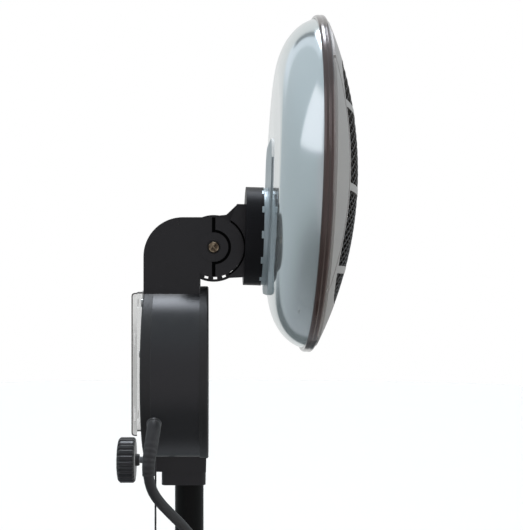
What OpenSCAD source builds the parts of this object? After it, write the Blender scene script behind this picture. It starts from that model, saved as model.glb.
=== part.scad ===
// Outdoor quartz heater on a round weighted stand, in millimetres.
// The floor is Z = 0, the pole stands on the Z axis and the heater faces -Y.
// Each node is one physical piece. Choose one below, or all for the assembly.

/* [Heater head] */
// Outside radius of the rim band
rim_r = 147.5; // [120:0.5:190]
// Width of the rim band from front to back
band_w = 8.5; // [8:0.5:20]
// Depth of the back shell behind the rim's front edge
shell_depth = 40.5; // [30:0.5:70]
// Radial width of the shell's rounded corner
corner_out = 51; // [30:0.5:70]
// Depth of the shell's rounded corner
corner_deep = 37.7; // [20:0.1:60]
// Rise of the shell's back from the corner to its flat middle
back_rise = 1.8; // [0:0.1:6]
// Sheet thickness of shell and front
skin_t = 1; // [0.6:0.1:2]
// Rise of the front dome above the rim
dome_rise = 35; // [10:1:60]
// Forward lean of the head at rest, in degrees
lean = 1.7; // [0:0.1:10]
// Height of the head's centre above the tilt pivot
head_up = 57.8; // [0:0.1:90]
// Shell's back ahead of the tilt pivot
shell_back = 48; // [44:0.5:70]

/* [Front grille] */
// Width of each side cap, from the rim in to its seam
cap_w = 38; // [25:0.5:60]
// Edge of the centre panel between its seams and the window field
field_side = 3; // [1:0.5:12]
// Edge of the centre panel above and below the window field
field_end = 46.5; // [35:0.5:70]
// Corner radius of the window field
field_r = 50; // [10:1:60]
// Drop of the window field below the head's centre
field_drop = 1.5; // [0:0.5:10]
// Drop of the middle cross rib below the head's centre
rib_drop = 9; // [0:0.5:15]
// Spacing of the three cross ribs
rib_pitch = 65.5; // [40:0.5:90]
// Width of each cross rib
rib_w = 6; // [3:0.5:12]
// Distance between the bars of the guard mesh
mesh_pitch = 12.5; // [10:0.5:25]
// Width of each mesh bar
mesh_bar = 1.6; // [1:0.1:3]
// Slope of the mesh bars from level, in degrees
mesh_slope = 22; // [10:1:45]

/* [Heating tubes] */
// Outside radius of a quartz tube
quartz_r = 6; // [4:0.5:9]
// Room between each end of a quartz tube and the head's side
tube_end = 47.5; // [42:0.5:80]
// Height of each tube above or below the head's centre
quartz_off = 36; // [20:1:50]
// Half width of the ceramic blocks on the tube ends
ceramic_half = 9; // [8:0.5:12]

/* [Tilt joint] */
// Pivot height above the floor
pivot_z = 1600; // [900:5:2000]
// Pivot position ahead of the pole axis
pivot_ahead = 21.7; // [10:0.1:40]
// Radius of the fork cheeks round the pivot
cheek_r = 25.8; // [18:0.1:32]
// Width across the fork
fork_w = 56; // [40:1:80]
// Thickness of the tongue between the cheeks
tongue_w = 24; // [12:1:40]
// Radius of the pivot bolt
bolt_r = 3; // [2:0.1:5]
// Radius of the flange between knuckle and head
flange_r = 43.6; // [38:0.1:48]
// Running clearance of turning and sliding parts
run_gap = 0.05; // [0.02:0.01:0.1]

/* [Control drum] */
// Radius of the drum
drum_r = 75; // [60:0.5:90]
// Height of the pivot above the top of the drum
neck_h = 35; // [34:0.5:60]
// Back face of the drum behind the pole axis
drum_back_y = 38.9; // [30:0.1:50]
// Front face of the drum ahead of the pole axis
drum_front_y = 17.1; // [16:0.1:30]
// Wall thickness of the mouldings
wall_t = 3; // [2:0.1:4]
// Half width of the wall bracket
bracket_half = 55; // [40:1:70]

/* [Pole and clamp] */
// Radius of the pole
pole_r = 12.7; // [9.5:0.1:19]
// Wall thickness of the pole
pole_t = 1.2; // [1:0.1:2.5]
// Height of the joint between the two pole lengths
pole_joint_z = 760; // [500:5:1000]
// Radius of the clamp knob
knob_r = 20; // [14:0.5:28]
// Radius of the clamp screw
screw_r = 3; // [2:0.1:4]
// Wall of the socket behind the pole, which holds the clamp's thread
socket_wall = 20.8; // [16:0.1:26]

/* [Base] */
// Radius of the base
base_r = 200; // [170:1:260]
// Thickness of the ballast plate
weight_t = 12; // [8:1:25]
// Height of the rubber feet
foot_h = 6; // [3:0.5:12]

/* [Cords] */
// Radius of the mains lead
cord_r = 4.25; // [3:0.05:5]
// Radius of the pull cord
string_r = 0.9; // [0.6:0.1:1.5]
// Length of pull cord that hangs below the drum
string_drop = 220; // [100:5:400]

/* [Hidden] */
$fn = 96;
e = 0.01;
// Head
pivot_y = -pivot_ahead;
rim_ahead = shell_back + shell_depth;
shell_r = rim_r - 2.5;
flat_r = shell_r - corner_out;
ledge = shell_depth - back_rise - corner_deep;
front_back = 3.2;
dome_r = (rim_r * rim_r + dome_rise * dome_rise) / (2 * dome_rise);
dome_mid = rim_ahead + dome_rise - dome_r;
front_t = 1.2;
band_t = 0.8;
band_lip = band_w - band_t;
lip_r = flat_r + corner_out * sqrt(1 - pow((band_lip - ledge) / corner_deep, 2)) + 0.06;
panel_half = rim_r - cap_w;
field_half_w = panel_half - field_side;
field_half_h = rim_r - field_end;
quartz_half = rim_r - tube_end;
sheet_r = rim_r - 23.5;
sheet_t = 0.8;
sheet_z = rim_ahead - 9.8;
trough_half = quartz_off - 2;
trough_deep = shell_depth - 18.5;
trough_r = (trough_half * trough_half + trough_deep * trough_deep) / (2 * trough_deep);
trough_open = trough_r - trough_deep;
trough_end = quartz_half - 8;
cap_in = quartz_half - 6;
cap_l = 18;
post_up = 2 * quartz_off + 12;
post_r = 5;
// Tilt joint
plate_t = 1.5;
flange_up = 11.4;
flange_rear = cheek_r + 1.2;
flange_face = shell_back - 5.8;
flange_screw_x = 25;
flange_screw_r = 2;
flat_back_r = norm([flange_screw_x, head_up - flange_up]) + 2 * flange_screw_r + 3.3;
knuckle_half = fork_w / 2 - 3;
knuckle_top = flange_up + 26.6;
knuckle_low = cheek_r - 0.5;
cheek_in = tongue_w / 2 + 0.3;
pocket_t = 2.8;
boss_t = 1.2;
boss_r = 12.6;
groove_t = 2.4;
groove_r = 15;
slot_half = 1.5;
slot_end = 34;
detent_step = 17;
detent_mid = -94.6;
elbow_r = 34;
// Drum
drum_z = pivot_z - neck_h - drum_r;
drum_in = drum_r - wall_t;
front_seam_y = 7.4 - drum_front_y;
back_seam_y = drum_back_y - 8.7;
cover_t = 2.5;
cover_face_y = drum_back_y - cover_t;
pillar_x = drum_r - 23;
pillar_z = drum_z + 20;
pillar_screw_r = 1.6;
pull_x = 39 - drum_r;
pull_y = drum_back_y - 10.9;
switch_low = drum_z - drum_r + 22;
string_top = switch_low + 15;
string_low = string_top - 36 - string_drop;
bracket_t = 1.5;
bracket_y = drum_back_y + 6.6;
bracket_top = drum_z + drum_r - 4;
bracket_low = drum_z - drum_r + 26.5;
bracket_screws = [drum_z + drum_r - 14, drum_z - drum_r + 36];
bracket_screw_r = 2;
keyhole_x = 35;
keyhole_z = drum_z + 20;
keyhole_rise = 11;
// Pole, socket and clamp
bore_r = pole_r + run_gap;
socket_r = pole_r + 1.8;
pole_top = drum_z - 25;
clamp_z = drum_z - drum_r - 3.6;
block_low = drum_z - drum_r - 10;
collar_low = block_low - 12.5;
socket_y = pole_r + socket_wall;
insert_r = screw_r + 2;
insert_l = socket_wall - 8.3;
pad_face = pole_r + 0.3;
pad_back = pad_face + 4.6;
thread_pitch = 1.25;
knob_y = socket_y + 14.4;
knob_t = 16.4;
clip_x = -(pole_r + 2 + cord_r + 1.4);
clip_high = 1050;
clip_low = 300;
clip_h = 12;
// Base
weight_top = foot_h + weight_t;
bolt_head_z = weight_top - 4;
base_bolt_r = 6;
hub_top = weight_top + 4;
cover_top = weight_top + 18;
// Cords
gland_a = 29;
gland_y = 27.5;
gland_r = cord_r + 0.55;
gland_ring = 2.5;

// The lead's route: out of the gland, beside the pole, then over the base to the floor behind it.
gland_way = [-cos(gland_a), 0, -sin(gland_a)];
gland_out = [0, gland_y, drum_z] + (drum_r + gland_ring) * gland_way;
floor_z = cord_r + 0.1;
coil_mid = [-96, 312];
coil_out = 55.6;
coil_step = 9.6;
coil_rise = 9.2;
coil_start = [coil_mid[0] - coil_out, coil_mid[1], floor_z];
route = [
  gland_out + 6 * gland_way, [-83, 29, drum_z - 53], [-87.5, 30.5, drum_z - 64.5],
  [-88, 30.5, drum_z - 76], [-85, 27.5, drum_z - 88], [-78.5, 21.5, drum_z - 99],
  [-68, 13, drum_z - 111], [-56, 4.5, drum_z - 123], [-44, -3.5, drum_z - 137],
  [-33.5, -10, drum_z - 156], [-26, -13.5, drum_z - 182],
  [-22, -13, drum_z - 225], [-21.5, -8, drum_z - 290], [-21, -2, drum_z - 360],
  [clip_x, 0, clip_high + 15], [clip_x, 0, clip_high - 15], [-21, 1, 930], [-22.5, 2, 700], [-21.5, 1, 450],
  [clip_x, 0, clip_low + 15], [clip_x, 0, clip_low - 15], [-22, 3, 240], [-27, 12, 190], [-35, 28, 140],
  [-45, 48, 95], [-57, 73, 60], [-70, 100, 41], [-82, 126, 33.5], [-94, 152, 28.5],
  [-106, 178, 22.5], [-118, 202, 13.5], [-129, 224, 7], [-139, 246, 4.6], [-147, 268, floor_z],
  coil_start - [0, 4 * cord_r, 0]];
lead = concat([gland_out], smooth(route, 2), [coil_start - [0, 2 * cord_r, 0]]);
boot_end = 7;

// The coil winds in along the floor, climbs over half a turn and winds out again on top.
coil_in = coil_out - 2 * coil_step;
plug_r = 19.5;
plug_z = plug_r + 0.2;
function coil_r(i) = i <= 48 ? coil_out - coil_step * i / 24
  : i <= 60 ? coil_in - 1.2 * sin(15 * (i - 48)) : coil_in + coil_step * (i - 60) / 24;
function coil_z(i) = floor_z + coil_rise * (i <= 48 ? 0 : i >= 60 ? 1 : (1 - cos(15 * (i - 48))) / 2);
turns = [for (i = [0 : 102]) let (a = 180 - 15 * i)
  [coil_mid[0] + coil_r(i) * cos(a), coil_mid[1] + coil_r(i) * sin(a), coil_z(i)]];
tail = turns[102];
coil = concat(
  [coil_start - [0, 2 * cord_r, 0]], turns,
  [for (k = [1 : 6]) tail + [9 * k, 0, (plug_z - tail[2]) * (1 - cos(30 * k)) / 2]],
  [tail + [54 + 2 * cord_r, 0, plug_z - tail[2]]]);
coil_gap = min([for (i = [0 : 90], j = [i + 12 : 102]) norm(turns[i] - turns[j])]) - 2 * cord_r;
echo(least_coil_gap_mm = coil_gap);

// Where things sit

// Head coordinates: X across, Y up and Z forward, from the tilt pivot.
module face() {
  translate([0, pivot_y, pivot_z]) rotate([lean, 0, 0]) rotate([90, 0, 0]) children();
}

// The same, from the centre of the head.
module disc() {
  face() translate([0, head_up, 0]) children();
}

// A side outline in Y and Z from the pivot, drawn from x0 to x1 and leaning with the head.
module head_side(x0, x1) {
  translate([0, pivot_y, pivot_z]) rotate([lean, 0, 0]) translate([x0, 0, 0])
    rotate([90, 0, 90]) linear_extrude(x1 - x0) children();
}

// A side outline in Y and Z from the pole axis at pivot height.
module unit_side(x0, x1) {
  translate([x0, 0, pivot_z]) rotate([90, 0, 90]) linear_extrude(x1 - x0) children();
}

// A cylinder along Y at (x, z), from y0 back to y1.
module rod_y(x, z, y0, y1, r) {
  translate([x, y1, z]) rotate([90, 0, 0]) cylinder(h = y1 - y0, r = r);
}

// A box from one corner to the opposite one.
module slab(a, b) {
  translate(a) cube([b[0] - a[0], b[1] - a[1], b[2] - a[2]]);
}

// A rectangle with round corners, centred, from its half sizes.
module round_rect(hw, hh, r) {
  square([2 * hw, 2 * (hh - r)], center = true);
  square([2 * (hw - r), 2 * hh], center = true);
  for (x = [-1, 1], y = [-1, 1]) translate([x * (hw - r), y * (hh - r)]) circle(r);
}

module hexagon(across) {
  polygon([for (i = [0 : 5]) across / sqrt(3) * [cos(60 * i), sin(60 * i)]]);
}

// Swept tubes, for the cords

function unit(v) = v / norm(v);
function way(p, i) = unit(p[min(i + 1, len(p) - 1)] - p[max(i - 1, 0)]);
function carried(p, i, n) =
  i >= len(p) ? [] : let (t = way(p, i), m = unit(n - (n * t) * t)) concat([m], carried(p, i + 1, m));

// A tube through points a to b of p, with radius r[i] at point i. n is any direction across its start.
module tube(p, r, n, sides, a, b) {
  side = carried(p, 0, n);
  rings = b - a;
  points = [for (i = [a : b], j = [0 : sides - 1])
    let (t = way(p, i), turn = 360 * j / sides)
    p[i] + r[i] * (cos(turn) * side[i] + sin(turn) * cross(t, side[i]))];
  walls = [for (i = [0 : rings - 1], j = [0 : sides - 1], half = [0, 1])
    let (u = i * sides + j, v = i * sides + (j + 1) % sides)
    half == 0 ? [u, v, v + sides] : [u, v + sides, u + sides]];
  first = [for (j = [0 : sides - 1]) sides - 1 - j];
  last = [for (j = [0 : sides - 1]) rings * sides + j];
  polyhedron(points, concat([first], walls, [last]), convexity = 6);
}

// A smooth line through the chosen points q, in steps of 1 / n.
function smooth(q, n) = concat(
  [for (i = [0 : len(q) - 2], k = [0 : n - 1])
    let (
      a = q[max(i - 1, 0)], b = q[i], c = q[i + 1], d = q[min(i + 2, len(q) - 1)], t = k / n
    )
    0.5 * ((2 * b) + (c - a) * t + (2 * a - 5 * b + 4 * c - d) * t * t
    + (3 * b - a - 3 * c + d) * t * t * t)],
  [q[len(q) - 1]]);

// Head

// The shell's corner from its front edge to its back, drawn in by inset.
function shell_line(inset) = let (first = asin((front_back - ledge) / (corner_deep - inset)))
  [for (k = [0 : 16])
    let (t = first + (90 - first) * k / 16)
    [flat_r + (corner_out - inset) * cos(t), rim_ahead - ledge - (corner_deep - inset) * sin(t)]];

// Drawn back shell that carries everything in the head.
module head_shell() {
  color([0.55, 0.6, 0.62]) disc() difference() {
    rotate_extrude() polygon(concat(
      shell_line(0), [[flat_back_r, shell_back], [0, shell_back]],
      [[0, shell_back + skin_t], [flat_back_r, shell_back + skin_t]],
      [for (k = [0 : 16]) shell_line(skin_t)[16 - k]]));
    for (s = [-1, 1]) translate([s * flange_screw_x, flange_up - head_up, shell_back - 1])
      cylinder(h = skin_t + 2, r = flange_screw_r + 0.1);
  }
}

// Stiffening plate between the shell and the mount flange.
module back_plate() {
  mid = flange_up + 16.1;
  color([0.6, 0.62, 0.62]) face() translate([0, mid, shell_back - plate_t])
    linear_extrude(plate_t) difference() {
      round_rect(flange_r + 4.4, flange_r + 23.9, 20);
      for (s = [-1, 1]) translate([s * flange_screw_x, flange_up - mid]) circle(flange_screw_r + 0.1);
    }
}

// Rolled band that clamps the front to the shell, with a bead along its middle.
module rim_band() {
  color([0.2, 0.17, 0.16]) disc() translate([0, 0, rim_ahead]) rotate_extrude() polygon([
    [rim_r - 4.5, 0], [rim_r - 1.3, 0], [rim_r - 0.1, -1.4], [rim_r, 1.4 - 0.55 * band_w],
    [rim_r - 0.6, 0.7 - 0.55 * band_w], [rim_r, -0.55 * band_w], [rim_r - 0.2, 1.6 - band_w],
    [rim_r - 1.1, -band_w], [lip_r, -band_w], [lip_r, -band_lip],
    [shell_r, -band_lip], [shell_r, -front_t], [rim_r - 4.5, -front_t]]);
}

// The domed front with its clamping edge, before it is cut into three.
module front_skin() {
  difference() {
    union() {
      intersection() {
        translate([0, 0, dome_mid]) sphere(dome_r, $fn = 200);
        translate([0, 0, rim_ahead - 3]) cylinder(h = 2 * dome_rise, r = rim_r - 4.7);
      }
      translate([0, 0, rim_ahead - front_back]) cylinder(h = front_back - front_t, r = shell_r);
    }
    intersection() {
      translate([0, 0, dome_mid]) sphere(dome_r - front_t, $fn = 200);
      translate([0, 0, rim_ahead - 4]) cylinder(h = 2 * dome_rise, r = rim_r - 6);
    }
  }
}

// The field of the windows, larger all round by more.
module window_field(more) {
  round_rect(field_half_w + more, field_half_h + more, field_r + more);
}

// Centre of the front, with two large and two small windows.
module front_panel() {
  color([0.66, 0.67, 0.67]) disc() difference() {
    intersection() {
      front_skin();
      translate([-panel_half, -rim_r, rim_ahead - 10]) cube([2 * panel_half, 2 * rim_r, 2 * dome_rise]);
    }
    translate([0, -field_drop, rim_ahead]) linear_extrude(2 * dome_rise) difference() {
      window_field(0);
      for (k = [-1 : 1]) translate([0, field_drop - rib_drop + k * rib_pitch])
        square([2 * panel_half, rib_w], center = true);
    }
  }
}

// D-shaped side of the front: s is -1 for the left one and 1 for the right one.
module side_cap(s) {
  color([0.62, 0.64, 0.64]) disc() intersection() {
    front_skin();
    translate([s > 0 ? panel_half : -rim_r, -rim_r, rim_ahead - 10])
      cube([cap_w, 2 * rim_r, 2 * dome_rise]);
  }
}

// Diamond mesh that stops fingers, pressed to the dome's curve.
module guard_mesh() {
  bars = ceil((field_half_w * sin(mesh_slope) + field_half_h) / mesh_pitch);
  color([0.15, 0.15, 0.15]) disc() intersection() {
    translate([0, 0, dome_mid]) difference() {
      sphere(dome_r - front_t, $fn = 200);
      sphere(dome_r - 2 * front_t, $fn = 200);
    }
    translate([0, -field_drop, rim_ahead]) linear_extrude(2 * dome_rise) {
      difference() {
        window_field(6);
        window_field(0);
      }
      intersection() {
        window_field(1);
        for (s = [-1, 1], k = [-bars : bars])
          rotate(s * mesh_slope) translate([0, k * mesh_pitch]) square([3 * rim_r, mesh_bar], center = true);
      }
    }
  }
}

// Section of one reflector trough in depth and height, from its own middle.
module trough_line(r) {
  intersection() {
    circle(r);
    translate([trough_open, -r]) square(2 * r);
  }
}

// Polished sheet with a trough behind each tube.
module reflector() {
  color([0.85, 0.85, 0.83]) disc() {
    translate([0, 0, sheet_z]) linear_extrude(sheet_t) difference() {
      circle(sheet_r);
      for (s = [-1, 1]) translate([0, s * quartz_off])
        square([2 * trough_end, 2 * trough_half], center = true);
    }
    for (s = [-1, 1]) translate([0, s * quartz_off, sheet_z + trough_open]) rotate([0, 90, 0]) difference() {
      translate([0, 0, -trough_end - sheet_t]) linear_extrude(2 * (trough_end + sheet_t))
        trough_line(trough_r + sheet_t);
      translate([0, 0, -trough_end]) linear_extrude(2 * trough_end) {
        trough_line(trough_r);
        translate([trough_open - 1, -trough_half]) square([2, 2 * trough_half]);
      }
      translate([trough_open + ceramic_half, 0, -quartz_half])
        cylinder(h = 2 * quartz_half, r = quartz_r + 0.3);
    }
  }
}

// Post that holds the reflector off the shell, cut to the shell's inside.
module post(s) {
  color([0.6, 0.6, 0.6]) disc() intersection() {
    translate([0, s * post_up, shell_back]) cylinder(h = sheet_z - shell_back, r = post_r);
    rotate_extrude() polygon(concat(
      [[0, sheet_z], [0, shell_back + skin_t], [flat_back_r, shell_back + skin_t]],
      [for (k = [0 : 16]) shell_line(skin_t)[16 - k]]));
  }
}

// Clear tube round the heating wire.
module quartz_tube(s) {
  color([0.9, 0.88, 0.85, 0.6]) disc()
    translate([-quartz_half, s * quartz_off, sheet_z - ceramic_half]) rotate([0, 90, 0])
      difference() {
        cylinder(h = 2 * quartz_half, r = quartz_r);
        translate([0, 0, -1]) cylinder(h = 2 * quartz_half + 2, r = quartz_r - 1);
      }
}

// Ceramic cap on one end of a tube: a is the side and s the height.
module ceramic_cap(a, s) {
  deep = quartz_half - cap_in;
  color([0.93, 0.91, 0.86]) disc()
    translate([a * cap_in, s * quartz_off, sheet_z - ceramic_half]) rotate([0, a * 90, 0]) difference() {
      translate([-ceramic_half, -ceramic_half, 0]) cube([2 * ceramic_half, 2 * ceramic_half, cap_l]);
      translate([0, 0, -1]) cylinder(h = deep + 1, r = quartz_r);
      translate([0, 0, deep - 1]) cylinder(h = cap_l, r = 2);
    }
}

// Round cup that joins the knuckle to the head, notched along its edge.
module mount_flange() {
  top = shell_back - plate_t;
  color([0.07, 0.07, 0.08]) face() translate([0, flange_up, 0]) difference() {
    union() {
      difference() {
        union() {
          translate([0, 0, flange_rear]) cylinder(h = flange_face - flange_rear, r = flange_r);
          translate([0, 0, flange_face - e]) cylinder(h = top - flange_face + e, r = flange_r - 1);
        }
        translate([0, 0, flange_rear + wall_t]) cylinder(h = shell_back, r = flange_r - 4);
        for (a = [15 : 30 : 345]) rotate(a) translate([flange_r - 10, -2, flange_face]) cube([20, 4, 10]);
      }
      for (s = [-1, 1]) translate([s * flange_screw_x, 0, flange_rear + 1])
        cylinder(h = top - flange_rear - 1, r = flange_screw_r + 3.5);
    }
    for (s = [-1, 1]) translate([s * flange_screw_x, 0, flange_rear + 6])
      cylinder(h = shell_back, r = flange_screw_r);
  }
}

// Screw from inside the head into the flange.
module flange_screw(s) {
  seat = shell_back + skin_t;
  color([0.7, 0.7, 0.7]) face() translate([s * flange_screw_x, flange_up, 0]) difference() {
    union() {
      translate([0, 0, flange_rear + 8]) cylinder(h = seat - flange_rear - 8, r = flange_screw_r);
      translate([0, 0, seat]) cylinder(h = 2.2, r = 2 * flange_screw_r);
    }
    for (a = [0, 90]) rotate(a) translate([-2.2, -0.4, seat + 1.2]) cube([4.4, 0.8, 2]);
  }
}

// Block and tongue that turn between the fork cheeks. Its windows catch the detent spring.
module tilt_knuckle() {
  rear = -flange_rear;
  color([0.07, 0.07, 0.08]) difference() {
    union() {
      head_side(-knuckle_half, knuckle_half) difference() {
        polygon([[rear, -knuckle_low], [rear, knuckle_top], [rear + 8, knuckle_top],
          [rear + 13, knuckle_top - 13], [rear + 13, -knuckle_low]]);
        circle(cheek_r + 0.6);
      }
      head_side(-tongue_w / 2, tongue_w / 2) difference() {
        union() {
          intersection() {
            circle(cheek_r + 2.8);
            translate([rear, -2 * cheek_r]) square([4 * cheek_r, 4 * cheek_r]);
          }
          intersection() {
            circle(cheek_r + 4.2);
            translate([rear, -2 * cheek_r]) square([-rear + 26, 2 * cheek_r - 6]);
          }
          polygon([[rear, -knuckle_low], [rear, knuckle_top], [rear + 8, knuckle_top],
            [rear + 16.7, knuckle_top - 8.8], [rear + 23, cheek_r + 2.5], [0, 0], [-8, -cheek_r - 1]]);
        }
        for (k = [-3 : 3]) rotate(detent_mid + detent_step * k) translate([cheek_r + 0.1, -1.7]) square([2, 3.4]);
        circle(bolt_r + run_gap);
      }
    }
    for (s = [-1, 1]) head_side(s > 0 ? 15 : 3 - knuckle_half, s > 0 ? knuckle_half - 3 : -15)
      polygon([[rear - 1, -20], [rear - 1, knuckle_top - 5], [rear + 3, knuckle_top - 5], [rear + 3, -20]]);
  }
}

// Elbow with the fork, in two halves, and the bolt that the head turns on

// Side outline of the elbow's body, drawn in by inset.
module elbow_line(inset) {
  r = elbow_r - inset;
  low = -neck_h - 25;
  front = front_seam_y + inset;
  round_y = drum_back_y - elbow_r;
  round_z = cheek_r - elbow_r;
  translate([front, low]) square([round_y - front, cheek_r - inset - low]);
  translate([front, low]) square([drum_back_y - inset - front, round_z - low]);
  intersection() {
    translate([round_y, round_z]) circle(r);
    translate([round_y - 1, round_z - 1]) square(elbow_r + 2);
  }
}

// Half of the elbow: s is -1 for the left half and 1 for the right one.
module elbow_half(s) {
  half = fork_w / 2;
  color([0.07, 0.07, 0.08]) difference() {
    union() {
      unit_side(s > 0 ? 0 : -half, s > 0 ? half : 0) {
        elbow_line(0);
        translate([pivot_y, 3.2 - cheek_r]) square([pivot_ahead, 2 * cheek_r - 3.2]);
        translate([pivot_y, 0]) circle(cheek_r);
      }
      translate([s > 0 ? half - e : e - half - boss_t, pivot_y, pivot_z]) rotate([0, 90, 0])
        cylinder(h = boss_t, r = boss_r);
    }
    unit_side(s > 0 ? -1 : wall_t - half, s > 0 ? half - wall_t : 1) elbow_line(wall_t);
    unit_side(s > 0 ? -1 : -cheek_in, s > 0 ? cheek_in : 1) {
      translate([pivot_y, 0]) circle(cheek_r + 5.2);
      translate([pivot_y - 40, -40]) square([40, 80]);
      translate([pivot_y - 1, -40]) square([14, 30]);
    }
    unit_side(s > 0 ? half - groove_t : -half - 2, s > 0 ? half + 2 : groove_t - half) {
      difference() {
        translate([pivot_y - slot_half, -slot_end]) square([2 * slot_half, 2 * slot_end]);
        translate([pivot_y, 0]) circle(boss_r);
      }
      difference() {
        translate([pivot_y, 0]) circle(groove_r);
        translate([pivot_y, 0]) circle(boss_r);
        translate([pivot_y, -2 * groove_r]) square([30, 4 * groove_r]);
      }
    }
    unit_side(s > 0 ? half - 1.2 : -half - 1, s > 0 ? half + 1 : 1.2 - half)
      translate([8, cheek_r - 6.8]) square([0.8, 10]);
    translate([s * half, pivot_y, pivot_z]) rotate([0, 90, 0])
      cylinder(h = 2 * pocket_t, r = 2 * bolt_r + 0.2, center = true);
    translate([s * half / 2, pivot_y, pivot_z]) rotate([0, 90, 0])
      cylinder(h = fork_w, r = bolt_r, center = true);
    rod_y(0, drum_z, -20, drum_back_y + 10, drum_r);
  }
}

module pivot_bolt() {
  head = pocket_t + 0.6;
  color([0.25, 0.25, 0.26]) translate([pocket_t - head - fork_w / 2, pivot_y, pivot_z]) rotate([0, 90, 0])
    difference() {
      union() {
        cylinder(h = head, r1 = bolt_r + 1.4, r2 = bolt_r + 2.2);
        translate([0, 0, head - e]) cylinder(h = fork_w - 2 * pocket_t + 2, r = bolt_r);
      }
      for (a = [45, 135]) rotate(a) translate([-2.6, -0.5, -1]) cube([5.2, 1, 2.8]);
    }
}

module pivot_nut() {
  color([0.6, 0.6, 0.6]) translate([fork_w / 2 - pocket_t, pivot_y, pivot_z]) rotate([0, 90, 0])
    linear_extrude(pocket_t + 0.6) difference() {
      hexagon(2 * bolt_r + 4);
      circle(bolt_r);
    }
}

// Control drum

// The space that the pole socket, the clamp, the lead and the pull cord take in the drum's wall.
module drum_holes() {
  translate([0, 0, drum_z - 2 * drum_r]) cylinder(h = 2 * drum_r - 20, r = socket_r);
  rod_y(0, clamp_z, 5, socket_y, insert_r);
  translate([0, gland_y, drum_z]) rotate([0, -90 - gland_a, 0]) cylinder(h = 2 * drum_r, r = gland_r);
  translate([pull_x, pull_y, drum_z - drum_r - 10]) cylinder(h = drum_r, r = string_r + 0.5);
}

module drum_body() {
  color([0.08, 0.08, 0.09]) difference() {
    rod_y(0, drum_z, front_seam_y, back_seam_y, drum_r);
    rod_y(0, drum_z, front_seam_y - 1, back_seam_y + 1, drum_in);
    drum_holes();
    slab([-16, 0, drum_z + 0.8 * drum_r], [16, back_seam_y - 6, drum_z + drum_r + 5]);
  }
}

module drum_front() {
  deep = drum_front_y + front_seam_y;
  color([0.07, 0.07, 0.08]) difference() {
    union() {
      translate([0, front_seam_y, drum_z]) rotate([90, 0, 0]) rotate_extrude() polygon([
        [drum_r - 2, 0], [drum_r + 1, 0], [drum_r + 1, deep - 1], [drum_r, deep], [0, deep],
        [0, deep - cover_t], [drum_r - 2, deep - cover_t]]);
      for (s = [-1, 1]) rod_y(s * pillar_x, pillar_z, cover_t - 0.1 - drum_front_y, cover_face_y, 4.5);
    }
    drum_holes();
    for (s = [-1, 1]) rod_y(s * pillar_x, pillar_z, 2, drum_back_y, pillar_screw_r);
  }
}

module drum_back() {
  deep = drum_back_y - back_seam_y;
  color([0.07, 0.07, 0.08]) difference() {
    union() {
      translate([0, drum_back_y, drum_z]) rotate([90, 0, 0]) rotate_extrude() polygon([
        [0, 0], [drum_r - 1, 0], [drum_r, 1], [drum_r, deep],
        [drum_in, deep], [drum_in, cover_t], [0, cover_t]]);
      for (z = bracket_screws) rod_y(0, z, drum_back_y - 10.9, cover_face_y + 0.1, 5);
    }
    drum_holes();
    for (z = bracket_screws) rod_y(0, z, drum_back_y - 12, drum_back_y + 1, bracket_screw_r);
    for (s = [-1, 1]) rod_y(s * pillar_x, pillar_z, back_seam_y, drum_back_y + 1, pillar_screw_r);
  }
}

// Cross-shaped recess of a screw head along Y, at (x, z), from y back.
module cross_recess(x, z, y, half) {
  slab([x - half, y, z - 0.4], [x + half, y + 5, z + 0.4]);
  slab([x - 0.4, y, z - half], [x + 0.4, y + 5, z + half]);
}

// Long screw that holds the two covers and the drum together.
module cover_screw(s) {
  color([0.55, 0.55, 0.55]) difference() {
    union() {
      rod_y(s * pillar_x, pillar_z, 4, drum_back_y, pillar_screw_r);
      rod_y(s * pillar_x, pillar_z, drum_back_y, drum_back_y + 1.8, 2 * pillar_screw_r);
    }
    cross_recess(s * pillar_x, pillar_z, drum_back_y + 0.9, 2);
  }
}

// Mains terminals on the back cover.
module terminal_block() {
  left = socket_r + 3.5;
  color([0.85, 0.85, 0.8]) difference() {
    slab([left, cover_face_y - 14.4, drum_z - 12], [left + 40, cover_face_y, drum_z + 6]);
    for (x = [8, 20, 32]) rod_y(left + x, drum_z - 3, cover_face_y - 16, cover_face_y - 6, 2.6);
  }
}

// Pull switch above the pull cord.
module pull_switch() {
  color([0.2, 0.2, 0.22]) difference() {
    slab([pull_x - 11, cover_face_y - 20.4, switch_low], [pull_x + 12, cover_face_y, switch_low + 31]);
    translate([pull_x, pull_y, switch_low - 1]) cylinder(h = string_top - switch_low + 3, r = string_r + 0.4);
  }
}

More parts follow.
